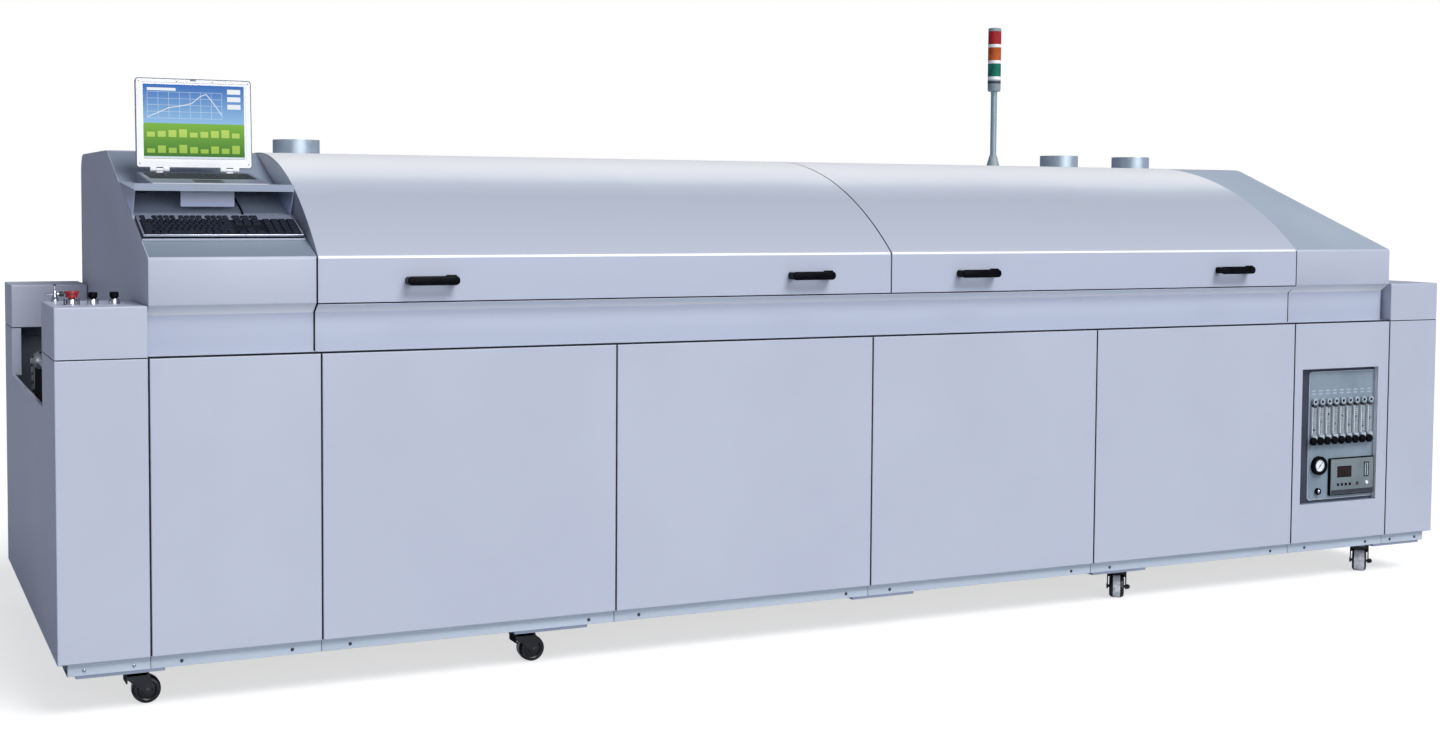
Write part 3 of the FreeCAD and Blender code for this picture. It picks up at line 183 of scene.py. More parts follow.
# metals: bright, with polish or rolling marks that streak the highlight
chrome = surface("brightChromePlate", "#C9CED6", "#E2E6EC", 30, 6, 0.01, (0.07, 0.16), metal)
silverTrim = surface("satinAnodisedAluminium", "#B9BEC9", "#D3D7E0", 60, 2.5, 0.01, (0.24, 0.34), metal,
                     (0.08, 1, 1))
towerMetal = surface("satinAluminiumTube", "#8AA0A8", "#97ADB4", 40, 4, 0.004, (0.38, 0.48),
                     {"Metallic": 0.4}, (1, 1, 0.06))
chainSteel = surface("oiledChainSteel", "#8C9198", "#B4B8BE", 25, 4, 0.02, (0.22, 0.4), metal)
brightSteel = surface("groundSteelBar", "#B2B6BB", "#CDD0D4", 50, 2, 0.01, (0.16, 0.28), metal, (1, 1, 0.1))
castorSteel = surface("zincPlatedSteel", "#9FA6AC", "#BFC5C9", 25, 4, 0.02, (0.22, 0.36), metal)
darkRail = surface("blackAnodisedExtrusion", "#1C1F24", "#2C3036", 80, 2.5, 0.02, (0.32, 0.46),
                   {"Metallic": 0.6}, (0.05, 1, 1))
zoneSteel = surface("aluminisedSteelSheet", "#8D9398", "#ABB0B3", 90, 6, 0.03, (0.3, 0.48), metal)
print("metals made")


def galvanisedSheet():  # hot-dip zinc on a rolled tube: crystals about 14 mm wide that differ in tone
    finish, tree, skin, place = startFinish("hotDipGalvanisedSheet", {"Metallic": 0.55})
    crystals = put(tree, "ShaderNodeTexVoronoi", {"Scale": 1000 / 14}, {"Vector": place}).outputs["Color"]
    tone = coloured(tree, crystals, [(0.0, "#AEBFCD"), (1.0, "#BCCBD7")])
    tree.links.new(tone, skin.inputs["Base Color"])
    tree.links.new(ranged(tree, crystals, {"To Min": 0.28, "To Max": 0.44}), skin.inputs["Roughness"])
    return finish


def climb(tree, height, low, high):  # 0 to 1 between two heights in mm
    return ranged(tree, height, {"From Min": low / 1000, "From Max": high / 1000})


def upward(tree, place):
    return put(tree, "ShaderNodeSeparateXYZ", links={"Vector": place}).outputs["Z"]


def paintedLightByHeight(name, low, high, stops):  # powder coat with painted light and shade: its tone shifts between two heights (mm)
    finish, tree, skin, place = startFinish(name, coat)
    waver = (high - low) / 20000  # the clouds blur each change of tone a little
    height = put(tree, "ShaderNodeMath", {"operation": "MULTIPLY_ADD", 1: waver},
                 {0: clouds(tree, place, 420), 2: upward(tree, place)}).outputs["Value"]
    shade = coloured(tree, climb(tree, height, low, high), stops)
    tree.links.new(shade, skin.inputs["Base Color"])
    addRelief(tree, skin, place, *peel)
    return finish


def lensPlastic(name, dark, light):  # tinted polycarbonate: deep colour under a thin wet gloss
    return surface(name, dark, light, 40, 3, 0.02, (0.15, 0.25), shine(1.58, 0.15))


def litScreen(name, low, high, bottom, top):  # backlit: colour climbs with height, cells drawn at 2 mm
    settings = {"Base Color": linear("#06080B"), "Roughness": 0.25, "Emission Strength": 1.0}
    finish, tree, skin, place = startFinish(name, {**settings, **shine(1.5, 0.15)})
    shade = coloured(tree, climb(tree, upward(tree, place), bottom, top), [(0.0, low), (1.0, high)])
    cells = put(tree, "ShaderNodeTexChecker", {"Scale": 1000 / 2}, {"Vector": place}).outputs["Fac"]
    dots = ranged(tree, cells, {"To Min": 0.97, "To Max": 1.0})
    glow = put(tree, "ShaderNodeMix", {"data_type": "RGBA", "blend_type": "MULTIPLY", 0: 1.0},
               {6: shade, 7: dots})
    tree.links.new(glow.outputs[2], skin.inputs["Emission Color"])
    return finish


galvanised = galvanisedSheet()
# painted light and shade: band as the cabinet, a cooler, darker start to the arc, then ever paler to the
# crest, where the light falls
hoodPaint = paintedLightByHeight("powderCoatPaintedCrestLight", 1085, 1515, [
    (0.0, "#B6BDCF"), (0.27, "#B4BBCD"), (0.31, "#B3B9C6"), (0.55, "#B1B7C4"), (0.69, "#B1B7C4"),
    (0.733, "#B8BECB"), (0.777, "#C3C9D4"), (0.82, "#DCE1E9"), (0.865, "#EDEEF4"), (0.915, "#F8F9FB"),
    (1.0, "#FCFCFD")])
# painted light: palest along its lower edge, where the downward chamfer would catch light bounced up from the
# floor
chamferPaint = paintedLightByHeight("powderCoatPaintedChamferLight", 1048, 1075, [(0.0, "#FAFCFE"), (1.0, "#C9D2DA")])
# painted shade and light: dark at both ends, where the slope faces the light less, palest in the shelf's
# shade
consoleSlopePaint = paintedLightByHeight("powderCoatPaintedConsoleSlopeShade", 1200, 1500, [
    (0.0, "#7A8796"), (0.2, "#8592A2"), (0.4, "#AEBBCC"), (0.58, "#B8C5D6"), (0.68, "#929EB0"),
    (1.0, "#8894A5")])
# painted light: paler under the shelf, in its shade, and darker towards the top
deskPaint = paintedLightByHeight("powderCoatPaintedDeskLight", 1300, 1385, [
    (0.0, "#D2DCFA"), (0.5, "#CCD6F4"), (0.78, "#AAB5C7"), (1.0, "#9FAABC")])
# painted light: paler towards the top, in the hood's shade
sillPaint = paintedLightByHeight("powderCoatPaintedSillLight", 942, 1048, [
    (0.0, "#AFB7C8"), (0.4, "#B4BCCE"), (0.75, "#C0C8DA"), (1.0, "#CED6E8")])
# painted light and shade: paler towards the floor, darker at the top under the panels' overhang
stripPaint = paintedLightByHeight("powderCoatPaintedFootLight", 112, 148, [
    (0.0, "#C4CFDC"), (0.5, "#BCC9D6"), (1.0, "#B6C4D0")])
redLens = lensPlastic("tintedPolycarbonateRed", "#8E1B22", "#AE252E")
amberLens = lensPlastic("tintedPolycarbonateAmber", "#A84A1C", "#C2602A")
greenLens = lensPlastic("tintedPolycarbonateGreen", "#0A5A4A", "#117B66")
acrylic = surface("clearCastAcrylic", "#E9F1F4", "#F6FAFB", 20, 5, 0.01, (0.02, 0.06),
                  {"IOR": 1.49, "Transmission Weight": 0.9})
dialCard = surface("whiteDialCard", "#E9EBEE", "#F4F5F7", 20, 1.5, 0.01, (0.5, 0.6), shine(1.45))
meterCard = surface("greyScaleCard", "#93A0AD", "#B9C3CB", 6, 1.5, 0.01, (0.45, 0.6), shine(1.45))
displayGlass = surface("smokedDisplayGlass", "#241C1A", "#312723", 30, 4, 0.005, (0.1, 0.18),
                       shine(1.5, 0.15))
screenBlue = litScreen("litScreenBlue", "#8FBCE4", "#1E62B4", 1570, 1690)
screenGreen = litScreen("litScreenGreen", "#2A6A1E", "#7DB63A", 1470, 1580)
screenLime = litScreen("litScreenLime", "#8EB83E", "#C2DC6C", 1470, 1580)
screenPale = litScreen("litScreenPale", "#D4DEE8", "#EEF3F7", 1470, 1690)
print("special finishes made")


def rounded(bm, edges, offset, steps):
    bmesh.ops.bevel(bm, geom=edges, offset=offset, segments=steps, profile=0.5, affect="EDGES", material=-1)


def slab(low, high, rounding=0, steps=2):  # a block with rounded edges
    bm = bmesh.new()
    size = [b - a for a, b in zip(low, high)]
    middle = [(a + b) / 2 for a, b in zip(low, high)]
    bmesh.ops.create_cube(bm, size=1, matrix=moved(*middle) @ Matrix.Diagonal((*size, 1)))
    if rounding:
        rounded(bm, bm.edges[:], rounding, steps)
    return bm


def reach(edge, axis):  # how far an edge runs along an axis
    first, last = edge.verts
    return abs(first.co[axis] - last.co[axis])


def deepEdges(bm, least=5):  # edges that run from front to back
    return [e for e in bm.edges if reach(e, 1) > least]


def newVerts(made):  # the vertices among what an operator made
    return [item for item in made if isinstance(item, bmesh.types.BMVert)]


def pulled(bm, way):  # extrudes a flat shape and moves its new end
    made = bmesh.ops.extrude_face_region(bm, geom=bm.faces[:])
    bmesh.ops.translate(bm, verts=newVerts(made["geom"]), vec=way)
    bmesh.ops.recalc_face_normals(bm, faces=bm.faces[:])
    return bm


def drawn(outline, a1, a2):  # an outline of (back, height) corners drawn out along the oven
    bm = bmesh.new()
    bm.faces.new([bm.verts.new((a1, b, z)) for b, z in outline])
    return pulled(bm, (a2 - a1, 0, 0))


layings = {"Z": Matrix(), "X": spun(90, "Y"), "-Y": spun(90, "X")}


def turned(outline, steps=32, spot=(0, 0, 0), way="Z"):  # spins an outline of (radius, height) corners
    bm = bmesh.new()
    verts = [bm.verts.new((r, 0, h)) for r, h in outline]
    edges = [bm.edges.new(pair) for pair in zip(verts, verts[1:])]
    bmesh.ops.spin(bm, geom=verts + edges, cent=(0, 0, 0), axis=(0, 0, 1), angle=2 * math.pi, steps=steps,
                   use_merge=True)
    bmesh.ops.remove_doubles(bm, verts=bm.verts[:], dist=0.001)
    bmesh.ops.recalc_face_normals(bm, faces=bm.faces[:])
    bmesh.ops.transform(bm, matrix=moved(*spot) @ layings[way], verts=bm.verts[:])
    return bm


def meshOf(name, bm):
    mesh = bpy.data.meshes.new(name)
    bm.to_mesh(mesh)
    bm.free()
    return mesh


def show(name, data):  # puts an object into the scene
    thing = bpy.data.objects.new(name, data)
    bpy.context.scene.collection.objects.link(thing)
    return thing


def join(bm, part, finish=0, place=None):  # adds a shaped part to a piece, in one of the piece's finishes
    for face in part.faces:
        face.material_index = finish
    if place:
        bmesh.ops.transform(part, matrix=place, verts=part.verts[:])
    mesh = meshOf("part", part)
    bm.from_mesh(mesh)
    bpy.data.meshes.remove(mesh)


def addPiece(name, bm, finishes, body, nodes=(), crease=32):
    bmesh.ops.transform(bm, matrix=toFrame, verts=bm.verts[:])
    mesh = meshOf(name, bm)
    for finish in finishes:
        mesh.materials.append(finish)
    mesh.polygons.foreach_set("use_smooth", [True] * len(mesh.polygons))
    mesh.set_sharp_from_angle(angle=math.radians(crease))
    piece = show(name, mesh)
    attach(piece, body)
    if nodes:
        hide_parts(*nodes)
    print("piece", name, len(mesh.polygons), "faces")
    return piece


def joinSlabs(bm, blocks, place=None):  # each block is its two corners, rounding, steps and finish
    for low, high, rounding, steps, finish in blocks:
        join(bm, slab(low, high, rounding, steps), finish, place)


def joinTurned(bm, rows, place=None):  # each row is an outline, its steps, spot, axis and finish
    for outline, steps, spot, way, finish in rows:
        join(bm, turned(outline, steps, spot, way), finish, place)


hood = {"bandBottom": 1075, "bandTop": 1200, "top": 1500, "arcRun": 800, "back": 925, "ridge": 7,
        "arcSteps": 44, "spans": {"entry": (679.5, 2488.5), "exit": (2493.5, 4162.5)}, "wall": 2,
        "heel": 1400, "step": 640, "flange": (1.5, 25), "ribHalf": 3, "ribShift": 10, "liftShift": 60,
        "rib": [(432, 1240), (784, 1240), (784, 1495), (700, 1490), (600, 1477), (500, 1457), (432, 1438)],
        "hinge": (940, 1478), "hingeInset": 157.5, "eye": [(8.1, -8), (12, -8), (12, 8), (8.1, 8), (8.1, -8)],
        "arms": [((-8, 880, 1466), (8, 925, 1498), 1, 2, 0), ((-8, 920, 1466), (8, 931, 1490), 0, 0, 0)],
        "handleInsets": (315.5, 291.5), "handleLevel": 1133}


def hoodLine(bm, a):  # the hood's section as a wire: band, arc and flat top
    rise = hood["top"] - hood["bandTop"]
    radius = (hood["arcRun"] ** 2 + rise ** 2) / (2 * rise)
    foot = bm.verts.new((a, 0, hood["bandBottom"]))
    ridge = bm.verts.new((a, 0, hood["bandTop"]))
    bm.edges.new((foot, ridge))
    arc = bmesh.ops.spin(bm, geom=[ridge], cent=(a, hood["arcRun"], hood["top"] - radius), axis=(1, 0, 0),
                         angle=-math.asin(hood["arcRun"] / radius), steps=hood["arcSteps"])
    crest = newVerts(arc["geom_last"])[0]
    rear = bm.verts.new((a, hood["back"], hood["top"]))
    bm.edges.new((crest, rear))
    return foot, rear


def hoodSkin(a1, a2):  # one bent sheet with a soft ridge along the top of its band
    bm = bmesh.new()
    hoodLine(bm, a1)
    made = bmesh.ops.extrude_edge_only(bm, edges=bm.edges[:])
    bmesh.ops.translate(bm, verts=newVerts(made["geom"]), vec=(a2 - a1, 0, 0))
    ridge = [e for e in bm.edges if all(v.co.y < 0.1 and v.co.z > hood["bandTop"] - 0.1 for v in e.verts)]
    rounded(bm, ridge, hood["ridge"], 4)
    band = min(bm.faces, key=lambda face: face.calc_center_median().z)
    if band.normal.y > 0:
        bmesh.ops.reverse_faces(bm, faces=bm.faces[:])
    bmesh.ops.solidify(bm, geom=bm.faces[:], thickness=hood["wall"])
    return bm


def hoodEnd(a, thick):  # end plate under the skin, cut away behind so that the hood can swing
    bm = bmesh.new()
    foot, rear = hoodLine(bm, a)
    heel = bm.verts.new((a, hood["back"], hood["heel"]))
    step = bm.verts.new((a, hood["step"], hood["bandBottom"]))
    for pair in ((rear, heel), (heel, step), (step, foot)):
        bm.edges.new(pair)
    bmesh.ops.edgeloop_fill(bm, edges=bm.edges[:])
    bmesh.ops.translate(bm, verts=bm.verts[:], vec=(0, 0.5, -0.5))
    return pulled(bm, (thick, 0, 0))


lug = {"outline": [(250, 1273.8), (355, 1273.8), (355, 1412), (300, 1390), (250, 1364)], "thick": 12,
       "pin": (290, 1303.8), "radius": 10.2, "tilt": 15, "lean": 0.268, "run": (22.1, 5.9)}


def liftLug(a):  # lug with the slot that the lift pin slides in
    bm = bmesh.new()
    corners = [bm.verts.new((a, b, z)) for b, z in lug["outline"]]
    for pair in zip(corners, corners[1:] + corners[:1]):
        bm.edges.new(pair)
    b, z = lug["pin"]
    lay = moved(a, b, z) @ spun(lug["tilt"], "X") @ spun(90, "Y")
    ring = bmesh.ops.create_circle(bm, cap_ends=False, segments=24, radius=lug["radius"], matrix=lay)["verts"]
    far = [v for v in ring if v.co.y - b + lug["lean"] * (v.co.z - z) > 0]
    bmesh.ops.translate(bm, verts=far, vec=(0, *lug["run"]))
    bmesh.ops.triangle_fill(bm, edges=bm.edges[:], use_beauty=True)
    return pulled(bm, (lug["thick"], 0, 0))


handle = {"grip": ((-75, -38, -13), (75, -25, 13)), "thumbRest": ((35, -34, 9), (66, -24, 16)),
          "feet": [((-74, -29, -11.5), (-55, 0, 11.5)), ((55, -29, -11.5), (74, 0, 11.5))]}


def bowHandle():  # bow of gloss nylon: a pill-shaped grip on two feet
    bm = bmesh.new()
    grip = slab(*handle["grip"])
    rounded(grip, deepEdges(grip), 12, 6)
    rounded(grip, [e for e in grip.edges if reach(e, 1) < 0.1], 5, 3)
    join(bm, grip)
    for corners in handle["feet"]:
        foot = slab(*corners)
        rounded(foot, deepEdges(foot), 9, 5)
        join(bm, foot)
    join(bm, slab(*handle["thumbRest"], 3, 3))
    return bm


def makeHood(name):
    a1, a2 = hood["spans"][name]
    lift = (a1 + a2) / 2 + hood["liftShift"]
    wall, bottom, half = hood["wall"], hood["bandBottom"], hood["ribHalf"]
    near, far = hood["flange"]
    bm = bmesh.new()
    join(bm, hoodSkin(a1, a2))
    bm.normal_update()
    for face in bm.faces:  # the steep part of the ridge is paler, a painted highlight
        if -0.96 < face.normal.y < -0.8 and face.normal.z > 0.2:
            face.material_index = 1
    join(bm, hoodEnd(a1, wall))
    join(bm, hoodEnd(a2, -wall))
    join(bm, slab((a1 + wall, near, bottom), (a2 - wall, far, bottom + wall)))
    for middle in ((a1 + lift - hood["ribShift"]) / 2, (lift + a2 + hood["ribShift"]) / 2):
        join(bm, drawn(hood["rib"], middle - half, middle + half))
    join(bm, liftLug(lift - lug["thick"] / 2))
    for place in (a1 + hood["hingeInset"], (a1 + a2) / 2, a2 - hood["hingeInset"]):
        joinSlabs(bm, hood["arms"], moved(place, 0, 0))
        join(bm, turned(hood["eye"], 32, (place, *hood["hinge"]), "X"))
    body = "hood_" + name
    addPiece(body + "_skin", bm, [hoodPaint, highlightPaint], body, [body])
    bm = bmesh.new()
    near, far = hood["handleInsets"]
    for middle in (a1 + near, a2 - far):
        join(bm, bowHandle(), 0, moved(middle, 0, hood["handleLevel"]))
    addPiece(body + "_bows", bm, [blackPlastic], body, ["hood_handles_" + name])


for name in hood["spans"]:
    makeHood(name)
print("hoods made")

cover = {"outline": [(38, 940), (38, 1048), (0, 1075), (0, 1200), (812, 1500), (1462, 1500), (1462, 940),
                     (844, 940), (844, 1000), (372, 1000), (372, 940)],
         "bends": [(1462, 1500, 60, 10), (0, 1200, 7, 4), (812, 1500, 25, 5), (0, 1075, 2, 2),
                   (38, 1048, 3, 2)],  # depth, height, offset and steps
         "edge": 3, "wall": 2, "bottom": 940, "mouth": (372, 844, 1000), "feet": [(3, 40), (1460, 1562)],
         "console": (234, 677), "lip": ((236, -5, 0.2), (670, -1, 7)), "exit": (4165, 4612),
         "hole": (4263, 1060, 1500), "holeRadius": 73}


def inMouth(spot):  # the opening that the conveyor runs through
    near, far, top = cover["mouth"]
    return near - 1 < spot.y < far + 1 and spot.z < top + 1


def cutHole(bm, spot):
    top = max((f for f in bm.faces if f.normal.z > 0.99), key=lambda face: face.calc_area())
    rim = list(top.edges)
    bmesh.ops.delete(bm, geom=[top], context="FACES_ONLY")
    ring = bmesh.ops.create_circle(bm, cap_ends=False, segments=48, radius=cover["holeRadius"],
                                   matrix=moved(*spot))
    for v in ring["verts"]:
        rim += [e for e in v.link_edges if e not in rim]
    bmesh.ops.triangle_fill(bm, edges=rim, use_beauty=True, normal=(0, 0, 1))


def coverShell(a1, a2, hole):
    bm = drawn(cover["outline"], a1, a2)
    for b, z, offset, steps in cover["bends"]:
        bend = [e for e in bm.edges if all(abs(v.co.y - b) < 0.1 and abs(v.co.z - z) < 0.1 for v in e.verts)]
        rounded(bm, bend, offset, steps)
    ends = []
    for edge in bm.edges:
        spots = [v.co for v in edge.verts]
        flat = any(all(abs(spot.x - a) < 0.1 for spot in spots) for a in (a1, a2))
        foot = all(spot.z < cover["bottom"] + 1 for spot in spots)
        if flat and not foot and not all(inMouth(spot) for spot in spots):
            ends.append(edge)
    rounded(bm, ends, cover["edge"], 2)
    openings = []
    for face in bm.faces:
        below = face.normal.z < -0.9 and all(v.co.z < cover["mouth"][2] + 1 for v in face.verts)
        if abs(face.normal.x) < 0.5 and (below or all(inMouth(v.co) for v in face.verts)):
            openings.append(face)
    bmesh.ops.delete(bm, geom=openings, context="FACES")
    if hole:
        cutHole(bm, hole)
    bmesh.ops.solidify(bm, geom=bm.faces[:], thickness=cover["wall"])
    return bm


def coverFinish(bm):  # the slope, the chamfer and the set-back face below it have finishes of their own, painted with light and shade
    bm.normal_update()
    for face in bm.faces:
        if face.normal.y < -0.2 and 0.88 < face.normal.z < 0.985:
            face.material_index = 1
        elif face.normal.y < -0.3 and face.normal.z < -0.6:
            face.material_index = 2
        elif face.normal.y < -0.9 and face.calc_center_median().z < 1050:
            face.material_index = 3


def addCover(name, bm, slopePaint, node):
    addPiece(name, bm, [cabinetPaint, slopePaint, chamferPaint, sillPaint], "oven", [node])


def makeCover(name, span, slopePaint, node, lip=None, hole=None):
    a1, a2 = span
    wall, bottom = cover["wall"], cover["bottom"]
    bm = bmesh.new()
    join(bm, coverShell(a1, a2, hole))
    coverFinish(bm)
    if lip:
        join(bm, slab(*lip, 1.5), 0, slopePlace)  # keeps the keyboard from sliding
    for near, far in cover["feet"]:
        join(bm, slab((a1 + wall, near, bottom), (a2 - wall, far, bottom + wall)))
    addCover(name, bm, slopePaint, node)


makeCover("console_cover", cover["console"], consoleSlopePaint, "console_shell", lip=cover["lip"])
makeCover("exit_hood_cover", cover["exit"], exitSlopePaint, "exit_cover", hole=cover["hole"])
sill = {"span": (679.5, 4162.5),
        "outline": [(2, 940), (70, 940), (70, 942), (40, 942), (40, 1050), (6, 1069), (60, 1069), (60, 1071),
                    (2, 1071), (2, 1069), (38, 1048), (38, 942), (2, 942)]}
bm = bmesh.new()
join(bm, drawn(sill["outline"], *sill["span"]))
coverFinish(bm)
addCover("sill_plate", bm, exitSlopePaint, "front_sill")
print("covers and sill made")

# dark strips in the gaps between panels and under the covers, painted shade where the gaps lie in shadow
seamShadow = {"seams": [234, 688, 1558, 2428, 3298, 4168, 4622],
        "seam": [((-1.95, 0.3, 150), (1.95, 4, 936), 0.3, 1, 0)],
        "runs": [((234.5, 1, 936.5), (4621.5, 4.8, 942.2), 0.6, 1, 0),  # under the covers and the sill
                 ((3, 1, 936.5), (231.5, 4.8, 940.6), 0.6, 1, 0),  # under the corner caps
                 ((4624.5, 1, 936.5), (4853, 4.8, 940.6), 0.6, 1, 0),
                 ((1, 30, 936.5), (4.8, 317, 940.6), 0.6, 1, 0),
                 ((4851.2, 30, 936.5), (4855, 317, 940.6), 0.6, 1, 0),
                 ((1, 1302, 936.5), (4.8, 1532, 940.6), 0.6, 1, 0),
                 ((4851.2, 1302, 936.5), (4855, 1532, 940.6), 0.6, 1, 0)],
        "trims": [(674.2, 679), (4163, 4166.4)],  # between a cover and a hood
        "trim": [(37.7, 943), (37.7, 1047.3), (-0.3, 1074.5), (-0.3, 1198), (1.2, 1198), (1.2, 1075.6),
                 (39.2, 1048.6), (39.2, 943)]}
bm = bmesh.new()
for place in seamShadow["seams"]:
    joinSlabs(bm, seamShadow["seam"], moved(place, 0, 0))
joinSlabs(bm, seamShadow["runs"])
for span in seamShadow["trims"]:
    join(bm, drawn(seamShadow["trim"], *span))
addPiece("seam_shade_strips", bm, [seamShadePaint], "oven")
print("seals made")

strip = {"seams": [25, 234, 688, 1558, 2428, 3298, 4168, 4622, 4831], "gap": 3, "heights": (112.5, 146),
         "faces": [(18, -1), (1544, 1)], "thick": 1.5, "insets": (42, 80), "screwLevel": 126,
         "screw": [(0, 3.2), (2.5, 3.0), (4.5, 1.8), (5, 0), (0, 0)]}
bm = bmesh.new()
half = strip["gap"] / 2
bottom, top = strip["heights"]
for start, end in zip(strip["seams"], strip["seams"][1:]):
    inset = strip["insets"][end - start > 300]  # further in on the long plates
    for face, way in strip["faces"]:
        outside = face + way * strip["thick"]
        near, far = sorted((face, outside))
        join(bm, slab((start + half, near, bottom), (end - half, far, top), 0.6))
        for place in (start + inset, end - inset):
            stand = moved(place, outside, strip["screwLevel"]) @ spun(-90 * way, "X")
            join(bm, turned(strip["screw"], 16), 2 if start < 100 else 1, stand)  # bright at the entry corner
addPiece("kick_strips", bm, [stripPaint, darkPlastic, castorSteel], "oven")
print("kick strips made")

duct = {"places": [859, 3907, 4263], "back": 1060, "flangeTop": 1502, "screws": 8, "screwRing": 84,
        "firstTurn": 0.3, "screw": [(0, 2.2), (2.2, 2), (3.2, 0.8), (3.4, 0), (0, 0)],
        "wall": [(73, 1500), (92, 1500), (92, 1502), (76.5, 1502), (75, 1503.5), (75, 1548.6), (74.6, 1549.7),
                 (73.6, 1549.9), (73, 1548.5), (73, 1500)]}
bm = bmesh.new()
for place in duct["places"]:
    join(bm, turned(duct["wall"], 64, (place, duct["back"], 0)))
    for index in range(duct["screws"]):
        turn = Matrix.Rotation(index * 2 * math.pi / duct["screws"] + duct["firstTurn"], 4, "Z")
        stand = moved(place, duct["back"], duct["flangeTop"]) @ turn @ moved(duct["screwRing"], 0, 0)
        join(bm, turned(duct["screw"], 12), 1, stand)
addPiece("duct_stubs", bm, [galvanised, castorSteel], "oven", ["exhaust_ducts"])
print("ducts made")

tower = {"spot": (3540, 985, 0), "first": 1848, "pitch": 62, "lensHeight": 50, "ring": 12, "flutes": 36,
         "lenses": {"green": greenLens, "amber": amberLens, "red": redLens},
         "foot": [(0, 1500), (27, 1500), (27, 1503), (25, 1505.5), (14.5, 1543), (12, 1546), (0, 1546)],
         "pole": [(0, 1545), (11.8, 1545), (11.8, 1791), (0, 1791)],
         "housing": [(0, 1790), (17, 1790), (22, 1791.5), (24.5, 1795), (25, 1800), (25, 1835.4),
                     (24.4, 1836), (0, 1836)],
         "joint": [(24, 1821), (25.2, 1821), (25.2, 1830), (24, 1830)],  # of the plug-in base
         "cap": [(0, 2022), (25, 2022), (25, 2030), (23.5, 2033.6), (20, 2035), (0, 2035)]}
bm = bmesh.new()
for part, finish in (("foot", 1), ("pole", 0), ("housing", 1), ("joint", 3), ("cap", 1)):
    join(bm, turned(tower[part], 48, tower["spot"]), finish)
for index in range(len(tower["lenses"])):
    high = tower["first"] + index * tower["pitch"]
    low = high - tower["ring"]
    ring = [(0, low), (24.6, low), (25, low + 0.5), (25, high - 0.5), (24.6, high), (0, high)]
    join(bm, turned(ring, 48, tower["spot"]), 2)
towerFinishes = [towerMetal, housingPlastic, whitePlastic, darkPlastic]
addPiece("tower_post", bm, towerFinishes, "oven", ["tower_stem"])
for index, (colour, finish) in enumerate(tower["lenses"].items()):
    low = tower["first"] + index * tower["pitch"]
    high = low + tower["lensHeight"]
    wall = [(0, low + 0.3), (24.4, low + 0.3), (25, low + 1), (25, high - 1), (24.4, high - 0.3),
            (0, high - 0.3)]
    fluted = turned(wall, 2 * tower["flutes"])
    grooves = []
    for v in fluted.verts:
        number = round(math.atan2(v.co.y, v.co.x) / math.pi * tower["flutes"])
        if v.co.xy.length > 20 and number % 2:
            grooves.append(v)
    bmesh.ops.scale(fluted, vec=(0.975, 0.975, 1), verts=grooves)  # upright flutes that spread the light
    bm = bmesh.new()
    join(bm, fluted, 0, moved(*tower["spot"]))
    addPiece("tower_light_" + colour, bm, [finish], "oven", ["tower_lens_" + colour], 20)
print("signal tower made")

# the laptop's places along it are counted from its left side
laptop = {"left": 278, "width": 328, "base": [(253, 1379), (523, 1379), (523, 1410), (253, 1399)],
          "deckFoot": (253, 1399), "deckRise": 11, "deckRun": 270, "keyRows": 5, "keyColumns": 14,
          "keyField": 292, "firstKey": (18, 107), "keyDepth": 25, "rowPitch": 27.4, "keyGap": 2.2,
          "spaceBar": (4, 9), "hinge": (515, 1417.5), "hingeStarts": (56, 254), "lidTilt": -8,
          "earFoot": ((0.1, 511, 1405), (17.9, 519, 1417.5)),
          "ear": [(0, 0), (4.8, 0), (5.6, 0.8), (5.6, 17.2), (4.8, 18), (0, 18)],
          "deck": [((7, -0.6, -9), (321, 3, -1), 1, 2, 3),  # white strip along the front edge, a painted highlight
                   ((16, 104, -0.4), (312, 246, 0.3), 0, 0, 1),  # bed of the keys
                   ((124, 28, -0.3), (204, 82, 0.5), 0.3, 1, 1),  # touch pad and its two buttons
                   ((124, 12, -0.3), (163, 25, 0.8), 0.4, 1, 1),
                   ((165, 12, -0.3), (204, 25, 0.8), 0.4, 1, 1)]}
laptopPlace = shelfPlace @ moved(laptop["left"], 0, 0)
deckTurn = Matrix.Rotation(math.atan(laptop["deckRise"] / laptop["deckRun"]), 4, "X")
deckPlace = laptopPlace @ moved(0, *laptop["deckFoot"]) @ deckTurn
lidPlace = laptopPlace @ tilted(*laptop["hinge"], laptop["lidTilt"])
hingeBack, hingeLevel = laptop["hinge"]
bm = bmesh.new()
wedge = drawn(laptop["base"], 0, laptop["width"])
rounded(wedge, [e for e in wedge.edges if reach(e, 2) > 10], 7, 4)
rounded(wedge, [e for e in wedge.edges if reach(e, 2) < 5 or e.calc_length() > 100], 1.2, 2)
join(bm, wedge, 0, laptopPlace)
joinSlabs(bm, laptop["deck"], deckPlace)
pitch = laptop["keyField"] / laptop["keyColumns"]
spaceStart, spaceEnd = laptop["spaceBar"]
for row in range(laptop["keyRows"]):
    spans = [(column, column + 1) for column in range(laptop["keyColumns"])]
    if row == 0:
        spans[spaceStart:spaceEnd] = [laptop["spaceBar"]]
    for start, end in spans:
        near = laptop["firstKey"][1] + row * laptop["rowPitch"]
        left, right = (laptop["firstKey"][0] + column * pitch for column in (start, end))
        key = slab((left, near, 0.2), (right - laptop["keyGap"], near + laptop["keyDepth"], 1.5), 0.4, 1)
        join(bm, key, 2, deckPlace)
for start in laptop["hingeStarts"]:
    join(bm, turned(laptop["ear"], 24, (start, hingeBack, hingeLevel), "X"), 3, laptopPlace)
    join(bm, slab(*laptop["earFoot"]), 3, laptopPlace @ moved(start, 0, 0))
laptopFinishes = [greyPlastic, darkPlastic, keyPlastic, whitePlastic]
addPiece("laptop_body", bm, laptopFinishes, "oven", ["laptop_base"])

